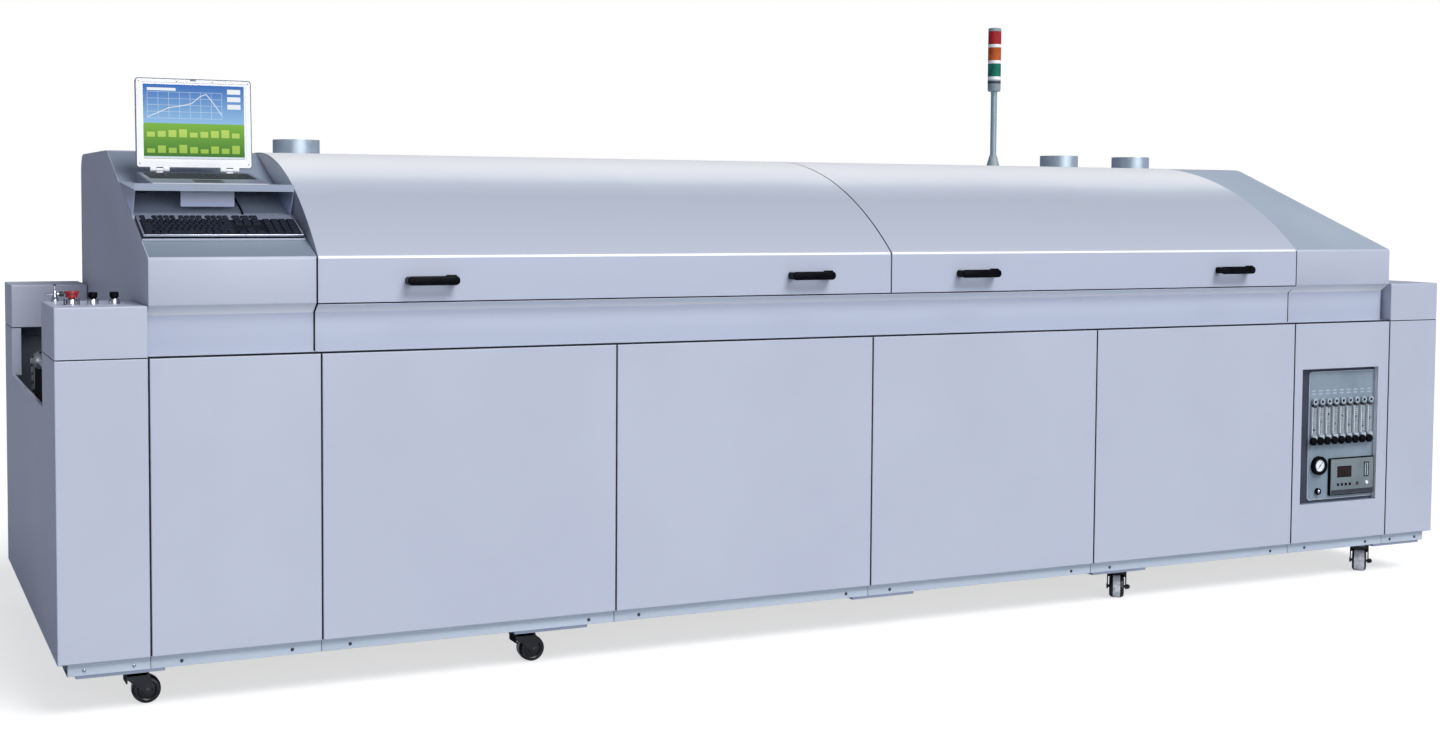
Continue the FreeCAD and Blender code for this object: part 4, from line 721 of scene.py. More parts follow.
lid = {"front": 510, "back": 519, "levels": (1422.5, 1681.5), "border": 2.5, "bezel": 19, "raise": 4.5,
       "rim": (510.6, 520), "latch": ((154, 509.6, 1675), (170, 511, 1679)),
       "earShift": 18.3, "earFoot": ((0, 509.2, 1414.5), (18, 519, 1426)),
       "bumper": [(0, 0.4), (1.6, 0.3), (2, 0), (0, 0)],
       "bumpers": [(10, 1435), (318, 1435), (10, 1672), (318, 1672), (116, 1673), (217, 1673)]}
screen = {"halves": [(21.5, 307, 1552, 1664, 1), (21.5, 307, 1449, 1552, 2)], "glass": (511, 511.3),
          "ink": (510.8, 511.1), "grid": (33, 1566), "gridStep": (30, 19), "gridLines": (8, 5),
          "gridEnd": (243, 1642), "line": 0.6, "zones": 9, "firstZone": 31, "zoneWidth": 22,
          "bars": [(1512, 1526, 1, 4), (1466, 1478, 3, 5)], "barStep": 3, "strokeDepths": (510.5, 510.8),
          "strokeHalf": 1, "strokeOverlap": 0.6,
          "boxes": [(22, 306.5, 1449.6, 1456), (259, 297, 1640, 1654), (259, 297, 1618, 1632),
                    (259, 297, 1596, 1610), (33, 113, 1646, 1654)],
          "curve": [(35, 1570), (63, 1582), (93, 1597), (125, 1602), (157, 1610), (183, 1632), (199, 1638),
                    (217, 1616), (243, 1578)]}


def onScreen(a1, a2, low, high, finish, layer="ink"):  # a thin flat patch of the picture
    near, far = screen[layer]
    join(bm, slab((a1, near, low), (a2, far, high)), finish, lidPlace)


def frontFace(part):
    return min(part.faces, key=lambda face: face.normal.y)


bm = bmesh.new()
border = lid["border"]
low, high = lid["levels"]
shell = slab((border, lid["front"], low + border), (laptop["width"] - border, lid["back"], high - border))
front = frontFace(shell)
bmesh.ops.inset_individual(shell, faces=[front], thickness=lid["bezel"], depth=0)
bmesh.ops.translate(shell, verts=front.verts[:], vec=(0, 0, lid["raise"]))
bmesh.ops.inset_individual(shell, faces=[front], thickness=0.4, depth=-1.2)
rounded(shell, deepEdges(shell), 7, 5)
join(bm, shell, 0, lidPlace)
near, far = lid["rim"]
rim = slab((0, near, low), (laptop["width"], far, high))
bmesh.ops.inset_individual(rim, faces=[frontFace(rim)], thickness=2 * border, depth=-3)
rounded(rim, deepEdges(rim), 9, 5)
join(bm, rim, 5, lidPlace)  # grey back shell, which shows as a thin border: painted shade on the lid's edge
for patch in screen["halves"]:
    onScreen(*patch, "glass")
for box in screen["boxes"]:
    onScreen(*box, 4)
(left, bottom), (right, top), line = screen["grid"], screen["gridEnd"], screen["line"]
(across, rise), (columns, rows) = screen["gridStep"], screen["gridLines"]
for index in range(columns):
    onScreen(left + index * across, left + index * across + line, bottom, top, 4)
for index in range(rows):
    onScreen(left, right, bottom + index * rise, bottom + index * rise + line, 4)
near, far = screen["strokeDepths"]
half, over = screen["strokeHalf"], screen["strokeOverlap"]
for (a1, low), (a2, high) in zip(screen["curve"], screen["curve"][1:]):
    run = math.hypot(a2 - a1, high - low)
    lean = moved(a1, 0, low) @ Matrix.Rotation(-math.atan2(high - low, a2 - a1), 4, "Y")
    join(bm, slab((-over, near, -half), (run + over, far, half)), 4, lidPlace @ lean)
for zone in range(screen["zones"]):
    place = screen["firstZone"] + zone * across
    for low, high, stride, wrap in screen["bars"]:  # two rows of bars of uneven height
        top = high + screen["barStep"] * (zone * stride % wrap)
        onScreen(place, place + screen["zoneWidth"], low, top, 3)
for place, level in lid["bumpers"]:
    join(bm, turned(lid["bumper"], 16, (place, lid["front"], level), "-Y"), 5, lidPlace)
join(bm, slab(*lid["latch"], 0.3, 1), 5, lidPlace)
for start in laptop["hingeStarts"]:
    for first in (start - lid["earShift"], start + lid["earShift"]):  # either side of the base's ear
        join(bm, turned(laptop["ear"], 24, (first, hingeBack, hingeLevel), "X"), 0, lidPlace)
        join(bm, slab(*lid["earFoot"], 1, 2), 0, lidPlace @ moved(first, 0, 0))
lidFinishes = [whitePlastic, screenBlue, screenGreen, screenLime, screenPale, greyPlastic]
addPiece("laptop_display", bm, lidFinishes, "laptop_lid", ["laptop_lid"])
print("laptop made")

# the keyboard's places are counted from its left front corner, along the slope
keys = {"left": 238, "pitch": 238 / 15, "first": (8, 9.5), "rowPitch": 21, "capDepth": 20.2, "gap": 0.4,
        "capLevels": (16.2, 21), "taper": 4,
        "rows": [[1.25, 1.25, 1.25, 6.25, 1.25, 1.25, 1.25, 1.25], [2.25] + [1] * 10 + [2.75],
                 [1.75] + [1] * 11 + [2.25], [1.5] + [1] * 12 + [1.5], [1] * 13 + [2]],
        "functions": [0, 2, 3, 4, 5, 6.5, 7.5, 8.5, 9.5, 11, 12, 13, 14], "functionRow": (122, 140),
        "blocks": [(254, 24, [(0, 1, 2), (1,), (), (0, 1, 2), (0, 1, 2), (0, 1, 2)]),  # arrow and page keys
                   (334, 22, [(0, 1, 2, 3)] * 5)],  # number keys: start, width and each row's columns
        "blockGap": 0.5, "lamps": (352, 148, 16.4), "lampPitch": 20,
        "lamp": [(0, 1), (1.2, 0.8), (1.6, 0), (0, 0)],
        "tray": [((0, 0, 0.2), (430, 160, 15.6), 3, 3, 0),
                 ((1, -0.3, 11), (429, 6.5, 17.4), 1.5, 3, 1),  # bright front rail
                 ((0.4, 5, 12), (5, 157, 17.2), 1.2, 2, 2), ((425, 5, 12), (429.6, 157, 17.2), 1.2, 2, 2),
                 ((6, 7.5, 15), (424, 117, 16.4), 0.5, 1, 0),
                 ((6, 117, 15), (424, 156, 16.4), 0.5, 1, 2)]}  # grey border behind the keys
boardPlace = slopePlace @ moved(keys["left"], 0, 0)


def keyCap(a1, a2, up1, up2):  # tapered cap with a softened top edge
    bottom, top = keys["capLevels"]
    cap = slab((a1, up1, bottom), (a2, up2, top))
    crown = [v for v in cap.verts if v.co.z > top - 1]
    middle = moved((a1 + a2) / 2, (up1 + up2) / 2, top)
    shrink = [(size - keys["taper"]) / size for size in (a2 - a1, up2 - up1)]
    bmesh.ops.scale(cap, vec=(*shrink, 1), space=middle.inverted(), verts=crown)
    rounded(cap, [e for e in cap.edges if all(v.co.z > top - 1 for v in e.verts)], 0.8, 1)
    join(bm, cap, 3, boardPlace)


bm = bmesh.new()
joinSlabs(bm, keys["tray"], boardPlace)
left, front = keys["first"]
fronts = [front + row * keys["rowPitch"] for row in range(len(keys["rows"]))]
levels = [(near, near + keys["capDepth"]) for near in fronts] + [keys["functionRow"]]
for widths, level in zip(keys["rows"], levels):
    place = left
    for width in widths:
        end = place + width * keys["pitch"]
        keyCap(place + keys["gap"], end - keys["gap"], *level)
        place = end
for column in keys["functions"]:
    place = left + column * keys["pitch"]
    keyCap(place + keys["gap"], place + keys["pitch"] - keys["gap"], *keys["functionRow"])
for start, width, rows in keys["blocks"]:
    for columns, level in zip(rows, levels):
        for column in columns:
            place = start + column * width
            keyCap(place + keys["blockGap"], place + width - keys["blockGap"], *level)
for index in range(3):
    lampPlace = boardPlace @ moved(*keys["lamps"]) @ moved(index * keys["lampPitch"], 0, 0)
    join(bm, turned(keys["lamp"], 12), 4, lampPlace)
boardFinishes = [bedPlastic, silverTrim, greyPlastic, keyPlastic, greenLens]
addPiece("desk_keyboard", bm, boardFinishes, "oven", ["keyboard"])

lead = {"place": 537, "start": 160, "radius": 2.5, "lift": 0.3, "length": 190,
        "sway": [0, 0, 1.4, 2.2, 1.2, 0, 0],
        "grommet": [(0, 0.1), (7, 0.1), (7, 3.4), (6, 5.2), (4, 6), (0, 6)]}


def leadSpot(sway, along):  # in the frame, on the slope behind the keyboard
    spot = (lead["place"] + sway, lead["start"] + along, lead["radius"] + lead["lift"])
    return toFrame @ slopePlace @ Vector(spot)


curve = bpy.data.curves.new("keyboard_lead", "CURVE")
curve.dimensions = "3D"
curve.bevel_depth = lead["radius"] / 1000
curve.bevel_resolution = 4
spline = curve.splines.new("NURBS")
last = len(lead["sway"]) - 1
spline.points.add(last)
for index, (spot, sway) in enumerate(zip(spline.points, lead["sway"])):
    spot.co = (*leadSpot(sway, lead["length"] * index / last), 1)
spline.order_u = 3
spline.use_endpoint_u = True
curve.materials.append(leadRubber)
cord = show("keyboard_lead", curve)
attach(cord, "oven")
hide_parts("keyboard_cable")
bm = bmesh.new()
join(bm, turned(lead["grommet"], 24), 0, slopePlace @ moved(lead["place"], lead["start"] + lead["length"], 0))
gland = addPiece("lead_grommet", bm, [leadRubber], "oven")
print("keyboard and lead made")

button = {"back": 125, "places": {"estop": 58, "start": 111, "stop": 165},
          "posts": [((-20, 120, 1075), (-17.2, 130, 1091), 0.8, 2, 1),
                    ((17.2, 120, 1075), (20, 130, 1091), 0.8, 2, 1)],  # guards beside the stop
          "ring": [(9.3, 1089.05), (14.02, 1089.05), (14.02, 1075), (17, 1075), (17, 1076.4), (14.8, 1077),
                   (14.8, 1088), (14.2, 1089.4), (9.3, 1089.4), (9.3, 1089.05)],
          "mushroom": [(0, 1055), (9, 1055), (9, 1094.5), (15, 1094.5), (15.8, 1095.5), (15.8, 1103.5),
                       (18, 1104.4), (19, 1105.5), (19, 1109), (17.6, 1111), (14, 1111.5), (0, 1111.5)],
          "knob": [(0, 1055), (9, 1055), (9, 1093.5), (11.2, 1093.5), (12, 1094.4), (12, 1105.5),
                   (11.2, 1107), (9.5, 1107.5), (8, 1106.9), (0, 1106.4)]}


def onBox(name, outline, steps):  # a round part standing on the control box
    return turned(button[outline], steps, (button["places"][name], button["back"], 0))


bm = bmesh.new()
for name in button["places"]:
    join(bm, onBox(name, "ring", 40))
joinSlabs(bm, button["posts"], moved(button["places"]["estop"], 0, 0))
addPiece("button_bezels", bm, [chrome, darkPlastic], "oven")
bm = bmesh.new()
join(bm, onBox("estop", "mushroom", 48))
addPiece("estop_mushroom", bm, [redPlastic], "estop_button", ["estop_button"])
for name in ("start", "stop"):
    bm = bmesh.new()
    join(bm, onBox(name, "knob", 40))
    addPiece(name + "_knob", bm, [blackPlastic], name + "_button", [name + "_button"])
tee = {"spot": (33, 296, 0), "level": (33, 296, 1095),
       "stem": [(0, 1055), (5, 1055), (5, 1075.3), (10, 1075.3), (10, 1079), (9.4, 1081), (7.4, 1086),
                (6.4, 1091), (6.4, 1099), (5, 1101), (2.6, 1106), (1.6, 1117), (0, 1117)],
       "tip": [(0, 1116.4), (2.2, 1117), (3.2, 1119.4), (2.4, 1122), (0, 1123)],
       "arm": [(0, -24), (1.6, -23.6), (2.6, -22), (3, -8), (4, 0), (4, 11), (0, 11)],
       "grip": [(0, 10), (5.4, 10.6), (7, 13), (7.4, 18), (6.4, 22.4), (4, 24), (0, 24)]}
bm = bmesh.new()
joinTurned(bm, [(tee["stem"], 32, tee["spot"], "Z", 0), (tee["tip"], 24, tee["spot"], "Z", 1),
                (tee["arm"], 24, tee["level"], "X", 0), (tee["grip"], 28, tee["level"], "X", 1)])
addPiece("switch_tee", bm, [chrome, darkPlastic], "main_switch", ["main_switch"])
print("control box fittings made")

gas = {"window": (4206, 4570, 286, 773), "wall": 2, "depths": (2, 20), "plate": (4256, 4571, 296, 761),
       "layers": [(0, 18, 20, 14, 2), (2.4, 17.4, 18.2, 12, 1)],  # inset, depths, corner and finish
       "firstMeter": 4276.5, "meterPitch": 33.5, "meters": 9,
       "labels": [((-9, 17, 689), (9, 17.6, 694), 0.3, 1, 3), ((-9, 17, 678), (9, 17.6, 683), 0.3, 1, 3)],
       "gauge": (4305, 20, 421), "regulator": (4303.5, 20, 327), "analyser": (4354, 8, 308)}
meterPlaces = [gas["firstMeter"] + index * gas["meterPitch"] for index in range(gas["meters"])]
bm = bmesh.new()
a1, a2, z1, z2 = gas["window"]
wall = gas["wall"]
near, far = gas["depths"]
low, high = z1 - wall, z2 + wall
# the window's walls: charcoal as painted shade, the floor plate-coloured, and the right wall pale as painted
# light, since it lies in shade
joinSlabs(bm, [((a1 - wall, far, low), (a2 + wall, far + wall, high), 0, 0, 0),
               ((a1 - wall, near, low), (a1, far, high), 0, 0, 0),
               ((a2, near, low), (a2 + wall, far, high), 0, 0, 4),
               ((a1, near, low), (a2, far, z1), 0, 0, 1),
               ((a1, near, z2), (a2, far, high), 0, 0, 0)])
a1, a2, z1, z2 = gas["plate"]
# the inner plate lies on a larger pale one, whose edge shows as a painted highlight
for inset, near, far, radius, finish in gas["layers"]:
    plate = slab((a1 + inset, near, z1 + inset), (a2, far, z2 - inset))
    rounded(plate, [e for e in deepEdges(plate, 0.5) if e.verts[0].co.x < a1 + 5], radius, 5)
    join(bm, plate, finish)
for place in meterPlaces:
    joinSlabs(bm, gas["labels"], moved(place, 0, 0))  # blank label strips
plateFinishes = [recessShadePaint, platePaint, rimHighlightPaint, labelPaint, highlightPaint]
addPiece("gas_panel_plate", bm, plateFinishes, "oven", ["gas_plate"])

meter = {"ticks": 12, "firstTick": 540, "tickPitch": 7.6, "tick": ((-3, 15.6, 0), (8, 16.1, 1.4)),
         "floatLow": 546, "floatStep": 7, "floatBack": 11,
         "float": [(0, 0), (1.6, 1.5), (2.4, 6), (1.6, 8), (0, 8)],
         "blocks": [((-8, 6, 632), (8, 17.6, 645), 1.5, 2, 0), ((-12, 5, 499), (12, 17.6, 533), 2, 2, 4),
                    ((-12, 15.9, 531), (12, 17.6, 636), 0, 0, 4),
                    ((-12.4, 7, 534), (-9.2, 17, 634), 0.8, 1, 3)],  # white strip at the edge of the tube's guard, a painted highlight
         "rounds": [([(5.5, 0), (11.5, 0), (12, 1), (12, 12), (11, 13.4), (6.4, 13.4), (5.5, 12), (5.5, 0)],
                     28, (0, 17.5, 653), "-Y", 4),  # outlet with its dark bore
                    ([(0, 0), (5.6, 0), (5.6, 10), (0, 10)], 20, (0, 17.5, 653), "-Y", 2),
                    ([(0, 532), (6.4, 532), (6.4, 633), (0, 633)], 24, (0, 11, 0), "Z", 1),  # clear tube
                    ([(0, 9), (10, 8.8), (13.4, 7.6), (14.6, 5), (15.2, 1.4), (15.2, 0), (0, 0)], 24,
                     (-9, 5, 511), "-Y", 2)]}  # needle knob
bm = bmesh.new()
for index, place in enumerate(meterPlaces):
    stand = moved(place, 0, 0)
    joinSlabs(bm, meter["blocks"], stand)
    joinTurned(bm, meter["rounds"], stand)
    level = meter["floatLow"] + meter["floatStep"] * (index * 4 % 9)  # each float hangs at its own height
    join(bm, turned(meter["float"], 14, (place, meter["floatBack"], level)))
    for tick in range(meter["ticks"]):
        level = meter["firstTick"] + tick * meter["tickPitch"]
        join(bm, slab(*meter["tick"]), 0, moved(place, 0, level))
meterFinishes = [darkPlastic, acrylic, blackPlastic, dialCard, meterCard]
addPiece("flow_meters", bm, meterFinishes, "oven", ["flowmeters"])

dial = {"ring": [(0, 0), (34, 0), (34, 14), (33, 16.4), (30, 17), (22, 15.4), (21, 13), (0, 13)],
        "card": [(0, 13.4), (20.8, 13.4), (20.8, 12.8), (0, 12.8)],
        "hub": [(0, 15.2), (2.2, 15), (2.6, 14), (2.6, 13.4), (0, 13.4)],
        "knob": [(0, 0), (12, 0), (12, 11), (11, 13), (8.6, 13.4), (8, 11.5), (0, 11.5)],
        "knobCap": [(0, 15), (4, 14.6), (6.4, 12.5), (6.6, 11.4), (0, 11.4)],
        "needle": ((-1.4, -14.6, -13), (1.4, -14, 17)), "needleTurn": 42,
        "ticks": 25, "firstTick": -135, "tickTurn": 11.25,
        "shortTick": ((-0.4, -13.7, 17.3), (0.4, -13.3, 19.8)),
        "longTick": ((-0.4, -13.7, 15.3), (0.4, -13.3, 19.8))}
bm = bmesh.new()
joinTurned(bm, [(dial["ring"], 48, gas["gauge"], "-Y", 0), (dial["card"], 48, gas["gauge"], "-Y", 1),
                (dial["hub"], 20, gas["gauge"], "-Y", 0), (dial["knob"], 40, gas["regulator"], "-Y", 0),
                (dial["knobCap"], 32, gas["regulator"], "-Y", 2)])
for tick in range(dial["ticks"]):
    stand = moved(*gas["gauge"]) @ spun(dial["firstTick"] + tick * dial["tickTurn"], "Y")
    join(bm, slab(*dial["shortTick" if tick % 4 else "longTick"]), 0, stand)
join(bm, slab(*dial["needle"], 0.2, 1), 3, moved(*gas["gauge"]) @ spun(dial["needleTurn"], "Y"))
dialFinishes = [blackPlastic, dialCard, silverTrim, platePaint]
addPiece("pressure_dial", bm, dialFinishes, "oven", ["pressure_gauge"])

# the analyser's places are counted from the lower left front corner of its case
analyser = {"blocks": [((0, 0, 0), (214, 12, 136), 2.5, 3, 0), ((4, -1.6, 4), (210, 1, 132), 1, 2, 1),
                       ((5, -2, 5), (209, 0, 20), 0.6, 1, 4),
                       ((34, -2.4, 65), (103, 0, 106), 0.6, 1, 0),
                       ((36, -2.6, 67), (101, -1, 104), 0.4, 1, 2),
                       ((163, -2.4, 62), (187, 0, 116), 0.8, 2, 0),
                       ((167, -2.6, 66), (183, -1, 112), 0.4, 1, 5)],
            "rounds": [([(0, 3), (6.4, 2.6), (7.4, 1.5), (7.4, 0), (0, 0)], 24, (132, 0, 39), "-Y", 4),
                       ([(0, 68), (2.6, 68), (2.6, 110), (0, 110)], 14, (175, -1.6, 0), "Z", 0),
                       ([(0, 6), (5.6, 5.6), (7, 4), (7.4, 0), (0, 0)], 28, (176, -1, 40), "-Y", 3)],
            "keys": 4, "keyPitch": 19, "key": ((34, -2.6, 34), (44, -0.4, 44))}
analyserPlace = moved(*gas["analyser"])
bm = bmesh.new()
joinSlabs(bm, analyser["blocks"], analyserPlace)
joinTurned(bm, analyser["rounds"], analyserPlace)
for index in range(analyser["keys"]):
    join(bm, slab(*analyser["key"], 0.8, 2), 0, analyserPlace @ moved(index * analyser["keyPitch"], 0, 0))
caseFinishes = [blackPlastic, analyserPaint, displayGlass, whitePlastic, darkPlastic, meterCard]
addPiece("analyser_case", bm, caseFinishes, "oven", ["gas_analyser"])
print("gas panel made")

castor = {"places": [213, 1308, 3484, 4612], "backs": {"front": 112, "rear": 1450},
          "headings": [0, 0, -128, -135], "paleTreadHalf": [7, 7, 12, 18], "axle": (22, 0, 38), "cheeks": (-33, 29),
          "cheekThick": 4,
          "cheek": [(-34, 93), (24, 93), (35, 62), (33, 38), (28, 29.5), (22, 28), (15, 30), (7, 40),
                    (-16, 60), (-33, 74)],
          "race": [(0, 103.7), (32, 103.7), (34, 102.5), (34, 97), (30, 94), (30, 91.7), (0, 91.7)],
          "stem": [(0, 111.7), (8, 111.7), (8, 103.7), (0, 103.7)],
          "crown": [((-34, -33, 78), (24, 33, 92.5), 3, 2, 0),
                    ((-33, -30, 60), (-29, 30, 80), 1, 1, 0)],  # web that joins the cheeks ahead of the wheel
          "rod": [(0, -33), (5, -33), (5, 33), (0, 33)],
          "rodEnd": [(0, -45), (5, -45), (5.6, -44), (5.6, -40), (0, -40)],
          "nuts": [(-33.6, 2.4), (37, 8)], "nutRadius": 8.6, "rim": 38,
          "side": [(36.4, 19), (33, 23.4), (27, 25), (24, 23.6), (22, 21), (14.5, 23), (13, 25), (5.1, 25)]}
axlePlace = moved(*castor["axle"]) @ spun(90, "X")


def castorFork():  # pressed fork with a race, two cheeks under a crown, and the axle with its nut
    bm = bmesh.new()
    joinTurned(bm, [(castor["race"], 36, (0, 0, 0), "Z", 1), (castor["stem"], 24, (0, 0, 0), "Z", 1),
                    (castor["rod"], 20, castor["axle"], "-Y", 0),
                    (castor["rodEnd"], 20, castor["axle"], "-Y", 0)])
    for near in castor["cheeks"]:
        cheek = bmesh.new()
        cheek.faces.new([cheek.verts.new((a, near, z)) for a, z in castor["cheek"]])
        bmesh.ops.bevel(cheek, geom=cheek.verts[:], offset=3, segments=3, profile=0.5, affect="VERTICES",
                        material=-1)
        join(bm, pulled(cheek, (0, castor["cheekThick"], 0)))
    joinSlabs(bm, castor["crown"])
    for middle, depth in castor["nuts"]:
        nut = bmesh.new()
        radius = castor["nutRadius"]
        bmesh.ops.create_cone(nut, cap_ends=True, segments=6, radius1=radius, radius2=radius, depth=depth,
                              matrix=moved(0, middle, 0) @ axlePlace)
        rounded(nut, nut.edges[:], 0.8, 2)
        join(bm, nut)
    return bm


def castorWheel(paleTreadHalf):  # broad crowned tread with a dished hub, scuffed and near white over the middle as a painted highlight
    side = castor["side"]
    half = [(radius, -width) for radius, width in reversed(side)]
    tread = half + [(castor["rim"], -paleTreadHalf), (castor["rim"], paleTreadHalf)] + side + half[:1]
    bm = turned(tread, 48)
    for face in bm.faces:
        if face.calc_center_median().xy.length > castor["rim"] - 0.4:
            face.material_index = 1
    bmesh.ops.transform(bm, matrix=axlePlace, verts=bm.verts[:])
    return bm


for row, depth in castor["backs"].items():
    facts = zip(castor["places"], castor["headings"], castor["paleTreadHalf"])
    for number, (place, heading, paleTreadHalf) in enumerate(facts, 1):
        stand = moved(place, depth, 0) @ spun(heading, "Z")
        key = "{}_{}".format(row, number)
        fork, wheel = castorFork(), castorWheel(paleTreadHalf)
        for part in (fork, wheel):
            bmesh.ops.transform(part, matrix=stand, verts=part.verts[:])
        node = "castor_fork_" + key
        addPiece("fork_" + key, fork, [forkPaint, castorSteel], node, [node])
        node = "castor_wheel_" + key
        addPiece("wheel_" + key, wheel, [wheelNylon, scuffAndHighlightNylon], node, [node])
print("castors made")

chain = {"backs": {"front": 423, "rear": 793}, "pitch": 12.7, "plateRadius": 2.6, "rollerRadius": 2.5,
         "inner": (2.2, 3.2), "outer": (3.4, 4.4), "pinOver": 0.5,
         "wheels": [(40, 871, 26, 1), (43, 730, 20, 1), (260, 808, 30, -1), (4596, 808, 30, -1),
                    (4813, 730, 20, 1), (4816, 871, 26, 1)]}  # place, height, radius and way of turning


def chainPath():  # the loop's arcs and straight runs, each with its length and what places a link on it
    wheels = chain["wheels"]
    runs = []
    for (a1, z1, r1, t1), (a2, z2, r2, t2) in zip(wheels, wheels[1:] + wheels[:1]):
        heading = math.atan2(z2 - z1, a2 - a1)
        side = heading - math.pi / 2 - math.asin((t2 * r2 - t1 * r1) / math.hypot(a2 - a1, z2 - z1))
        way = Vector((math.cos(side), math.sin(side)))
        runs.append((Vector((a1, z1)) + t1 * r1 * way, Vector((a2, z2)) + t2 * r2 * way))
    path = []
    for index, (a, z, radius, turn) in enumerate(wheels):
        onto, off = runs[index - 1][1] - Vector((a, z)), runs[index][0] - Vector((a, z))
        first = math.atan2(onto.y, onto.x)
        sweep = (turn * (math.atan2(off.y, off.x) - first)) % (2 * math.pi)
        path.append(("arc", radius * sweep, (a, z, radius, turn, first)))
        path.append(("run", (runs[index][1] - runs[index][0]).length, runs[index]))
    return path


def chainLink(inner):  # two plates and a roller; every second link is the wider one
    bm = bmesh.new()
    half = chain["pitch"] / 2
    near, far = chain["inner"] if inner else chain["outer"]
    for side in (-1, 1):
        plate = bmesh.new()
        bmesh.ops.create_circle(plate, cap_ends=True, segments=10, radius=chain["plateRadius"],
                                matrix=moved(0, side * near, 0) @ spun(90, "X"))
        for way in (-1, 1):
            end = [v for v in plate.verts if way * v.co.x > 0.1]
            bmesh.ops.translate(plate, verts=end, vec=(way * half, 0, 0))
        join(bm, pulled(plate, (0, side * (far - near), 0)), 1 if inner else 0)  # inner plates are darker
    roller = bmesh.new()
    radius = chain["rollerRadius"]
    bmesh.ops.create_cone(roller, cap_ends=True, segments=8, radius1=radius, radius2=radius,
                          depth=2 * (far + chain["pinOver"]), matrix=moved(-half, 0, 0) @ spun(90, "X"))
    join(bm, roller)
    return meshOf("link", bm)


def linkPlace(path, along, depth):  # where a link lies that is so far along the loop
    for kind, length, facts in path:
        if along <= length:
            break
        along -= length
    if kind == "arc":
        a, z, radius, turn, first = facts
        angle = first + turn * along / radius
        spot = (a + radius * math.cos(angle), depth, z + radius * math.sin(angle))
        heading = angle + turn * math.pi / 2
    else:
        start, end = facts
        way = (end - start).normalized()
        spot = (start.x + way.x * along, depth, start.y + way.y * along)
        heading = math.atan2(way.y, way.x)
    return moved(*spot) @ Matrix.Rotation(-heading, 4, "Y")


path = chainPath()
total = sum(length for kind, length, facts in path)
count = 2 * round(total / chain["pitch"] / 2)
for side, depth in chain["backs"].items():
    links = [chainLink(True), chainLink(False)]
    bm = bmesh.new()
    for index in range(count):
        stand = linkPlace(path, total * index / count, depth)
        mesh = links[index % 2]
        mesh.transform(stand)
        bm.from_mesh(mesh)
        mesh.transform(stand.inverted())
    node = ["conveyor_chains"] if side == "front" else ()
    addPiece("chain_" + side, bm, [chainSteel, forkPaint], "oven", node)
print("chains made", count, "links each")

shaft = {"spans": {"idler_shaft": (40, 380, 836), "drive_shaft": (4816, 380.3, 836)}, "level": 871,
         "radius": 10, "teeth": 12, "rootRadius": 21.6, "toothRise": 1.09, "wheelThick": 3.6,
         "hub": [(10, -4), (15, -4), (16, -3), (16, 3), (15, 4), (10, 4)]}


def toothedWheel():  # sprocket that sits between the chain's plates
    bm = bmesh.new()
    thick, rise = shaft["wheelThick"], shaft["toothRise"]
    bmesh.ops.create_circle(bm, cap_ends=True, segments=4 * shaft["teeth"], radius=shaft["rootRadius"],
                            matrix=spun(90, "X"))
    ring = sorted(bm.verts, key=lambda v: math.atan2(v.co.z, v.co.x))
    tips = [v for index, v in enumerate(ring) if index % 4 < 2]
    bmesh.ops.scale(bm, vec=(rise, rise, rise), verts=tips)
    bmesh.ops.translate(bm, verts=bm.verts[:], vec=(0, -thick / 2, 0))
    return pulled(bm, (0, thick, 0))


for name, (place, near, far) in shaft["spans"].items():
    bm = bmesh.new()
    radius = shaft["radius"]
    rod = [(0, near), (radius - 1, near), (radius, near + 1), (radius, far - 1), (radius - 1, far), (0, far)]
    join(bm, turned(rod), 0, moved(place, 0, shaft["level"]) @ spun(-90, "X"))
    for depth in chain["backs"].values():
        join(bm, toothedWheel(), 1, moved(place, depth, shaft["level"]))
        join(bm, turned(shaft["hub"], 32, (place, depth, shaft["level"]), "-Y"))
    addPiece(name + "_sprockets", bm, [brightSteel, chainSteel], name, [name])
print("shafts made")

carried = {cabinetPaint: ["front_panels", "rear_panels", "end_panels", "control_box", "end_caps",
                          "rear_deck"],
           framePaint: ["base_frame", "lift_columns"], deskPaint: ["laptop_shelf"],
           galvanised: ["power_cabinet"],
           zoneSteel: ["lower_heat_module", "upper_heat_module_entry", "upper_heat_module_exit"],
           darkRail: ["conveyor_rails"], motorPaint: ["conveyor_motor"],
           brightSteel: ["lift_rod_entry", "lift_rod_exit"]}
for finish, names in carried.items():
    for name in names:
        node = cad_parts[name]
        for spot in node.material_slots:
            spot.material = finish
        if not node.material_slots:
            node.data.materials.append(finish)
print("carried solids painted")

view = {"spot": (-2.9044, -5.6630, 1.3575), "yaw": 25.789, "pitch": 2.9406, "roll": 0.40145, "lens": 45.29,
        "sensor": 36, "shift": -0.05046}
yaw, pitch, roll = (math.radians(view[key]) for key in ("yaw", "pitch", "roll"))
ahead = Vector((math.sin(yaw) * math.cos(pitch), math.cos(yaw) * math.cos(pitch), -math.sin(pitch)))
right = Vector((math.cos(yaw), -math.sin(yaw), 0))
up = right.cross(ahead)
right, up = math.cos(roll) * right + math.sin(roll) * up, math.cos(roll) * up - math.sin(roll) * right
optics = bpy.data.cameras.new("camera")
optics.lens = view["lens"]
optics.sensor_width = view["sensor"]
optics.shift_y = view["shift"]
camera = show("camera", optics)
camera.matrix_world = moved(*view["spot"]) @ Matrix((right, up, -ahead)).transposed().to_4x4()
bpy.context.scene.camera = camera

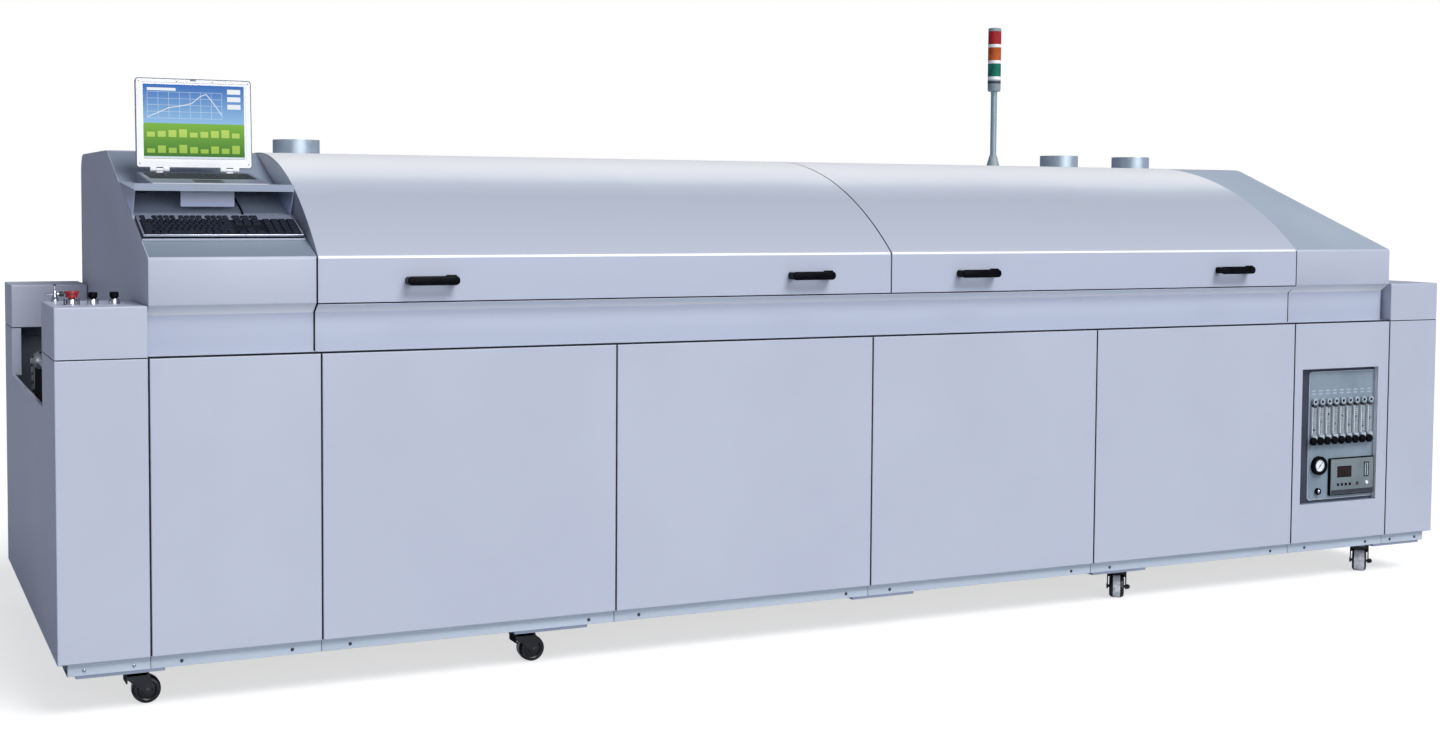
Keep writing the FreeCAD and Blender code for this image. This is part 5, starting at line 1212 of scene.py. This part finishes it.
light = {"suns": {"key": (2.5, (-0.25, 0.60, -0.76), 30), "fill": (0.7, (-0.28, 0.955, -0.08), 40),
                  "wash": (0.48, (0.14, 0.97, -0.1), 40)},  # strength, way and softness in degrees
         "ambient": 0.23, "mirrored": 0.26, "sky": "#DAE2F8"}
for name, (strength, way, softness) in light["suns"].items():
    sun = bpy.data.lights.new(name, "SUN")
    sun.energy = strength
    sun.angle = math.radians(softness)
    show(name, sun).rotation_euler = Vector(way).to_track_quat("-Z", "Y").to_euler()


def splitRays(tree, output, other, seen):  # one shader for what is seen directly, another for the rest
    rays = put(tree, "ShaderNodeLightPath").outputs
    straight = put(tree, "ShaderNodeMath", {"operation": "MAXIMUM"},
                   {0: rays["Is Camera Ray"], 1: rays["Is Transmission Ray"]})
    mixed = put(tree, "ShaderNodeMixShader", {},
                {0: straight.outputs[0], 1: other.outputs[0], 2: seen.outputs[0]})
    put(tree, output, {}, {"Surface": mixed.outputs[0]})


world = bpy.data.worlds.new("studio")
tree = emptyTree(world)
glossy = put(tree, "ShaderNodeLightPath").outputs["Is Glossy Ray"]
level = ranged(tree, glossy, {"To Min": light["ambient"], "To Max": light["mirrored"]})
sky = put(tree, "ShaderNodeBackground", {"Color": linear(light["sky"])}, {"Strength": level})
white = put(tree, "ShaderNodeBackground", {"Color": linear("#FFFFFF"), "Strength": 1.0})
splitRays(tree, "ShaderNodeOutputWorld", sky, white)
bpy.context.scene.world = world

ground = {"half": 40, "bounce": "#B6BAC4", "seen": "#B4B4B4", "glow": 0.66}
bm = bmesh.new()
bmesh.ops.create_grid(bm, x_segments=1, y_segments=1, size=ground["half"])
floor = show("floor", meshOf("floor", bm))
floorPaint = bpy.data.materials.new("paleStudioFloor")  # white with a soft shadow, throws less back
tree = emptyTree(floorPaint)
bounce = put(tree, "ShaderNodeBsdfDiffuse", {"Color": linear(ground["bounce"])})
matt = put(tree, "ShaderNodeBsdfDiffuse", {"Color": linear(ground["seen"])})
glow = put(tree, "ShaderNodeEmission", {"Color": linear("#FFFFFF"), "Strength": ground["glow"]})
lit = put(tree, "ShaderNodeAddShader", {}, {0: matt.outputs[0], 1: glow.outputs[0]})
splitRays(tree, "ShaderNodeOutputMaterial", bounce, lit)
floor.data.materials.append(floorPaint)
bpy.context.scene.view_settings.view_transform = "Standard"
print("camera, light and floor set")
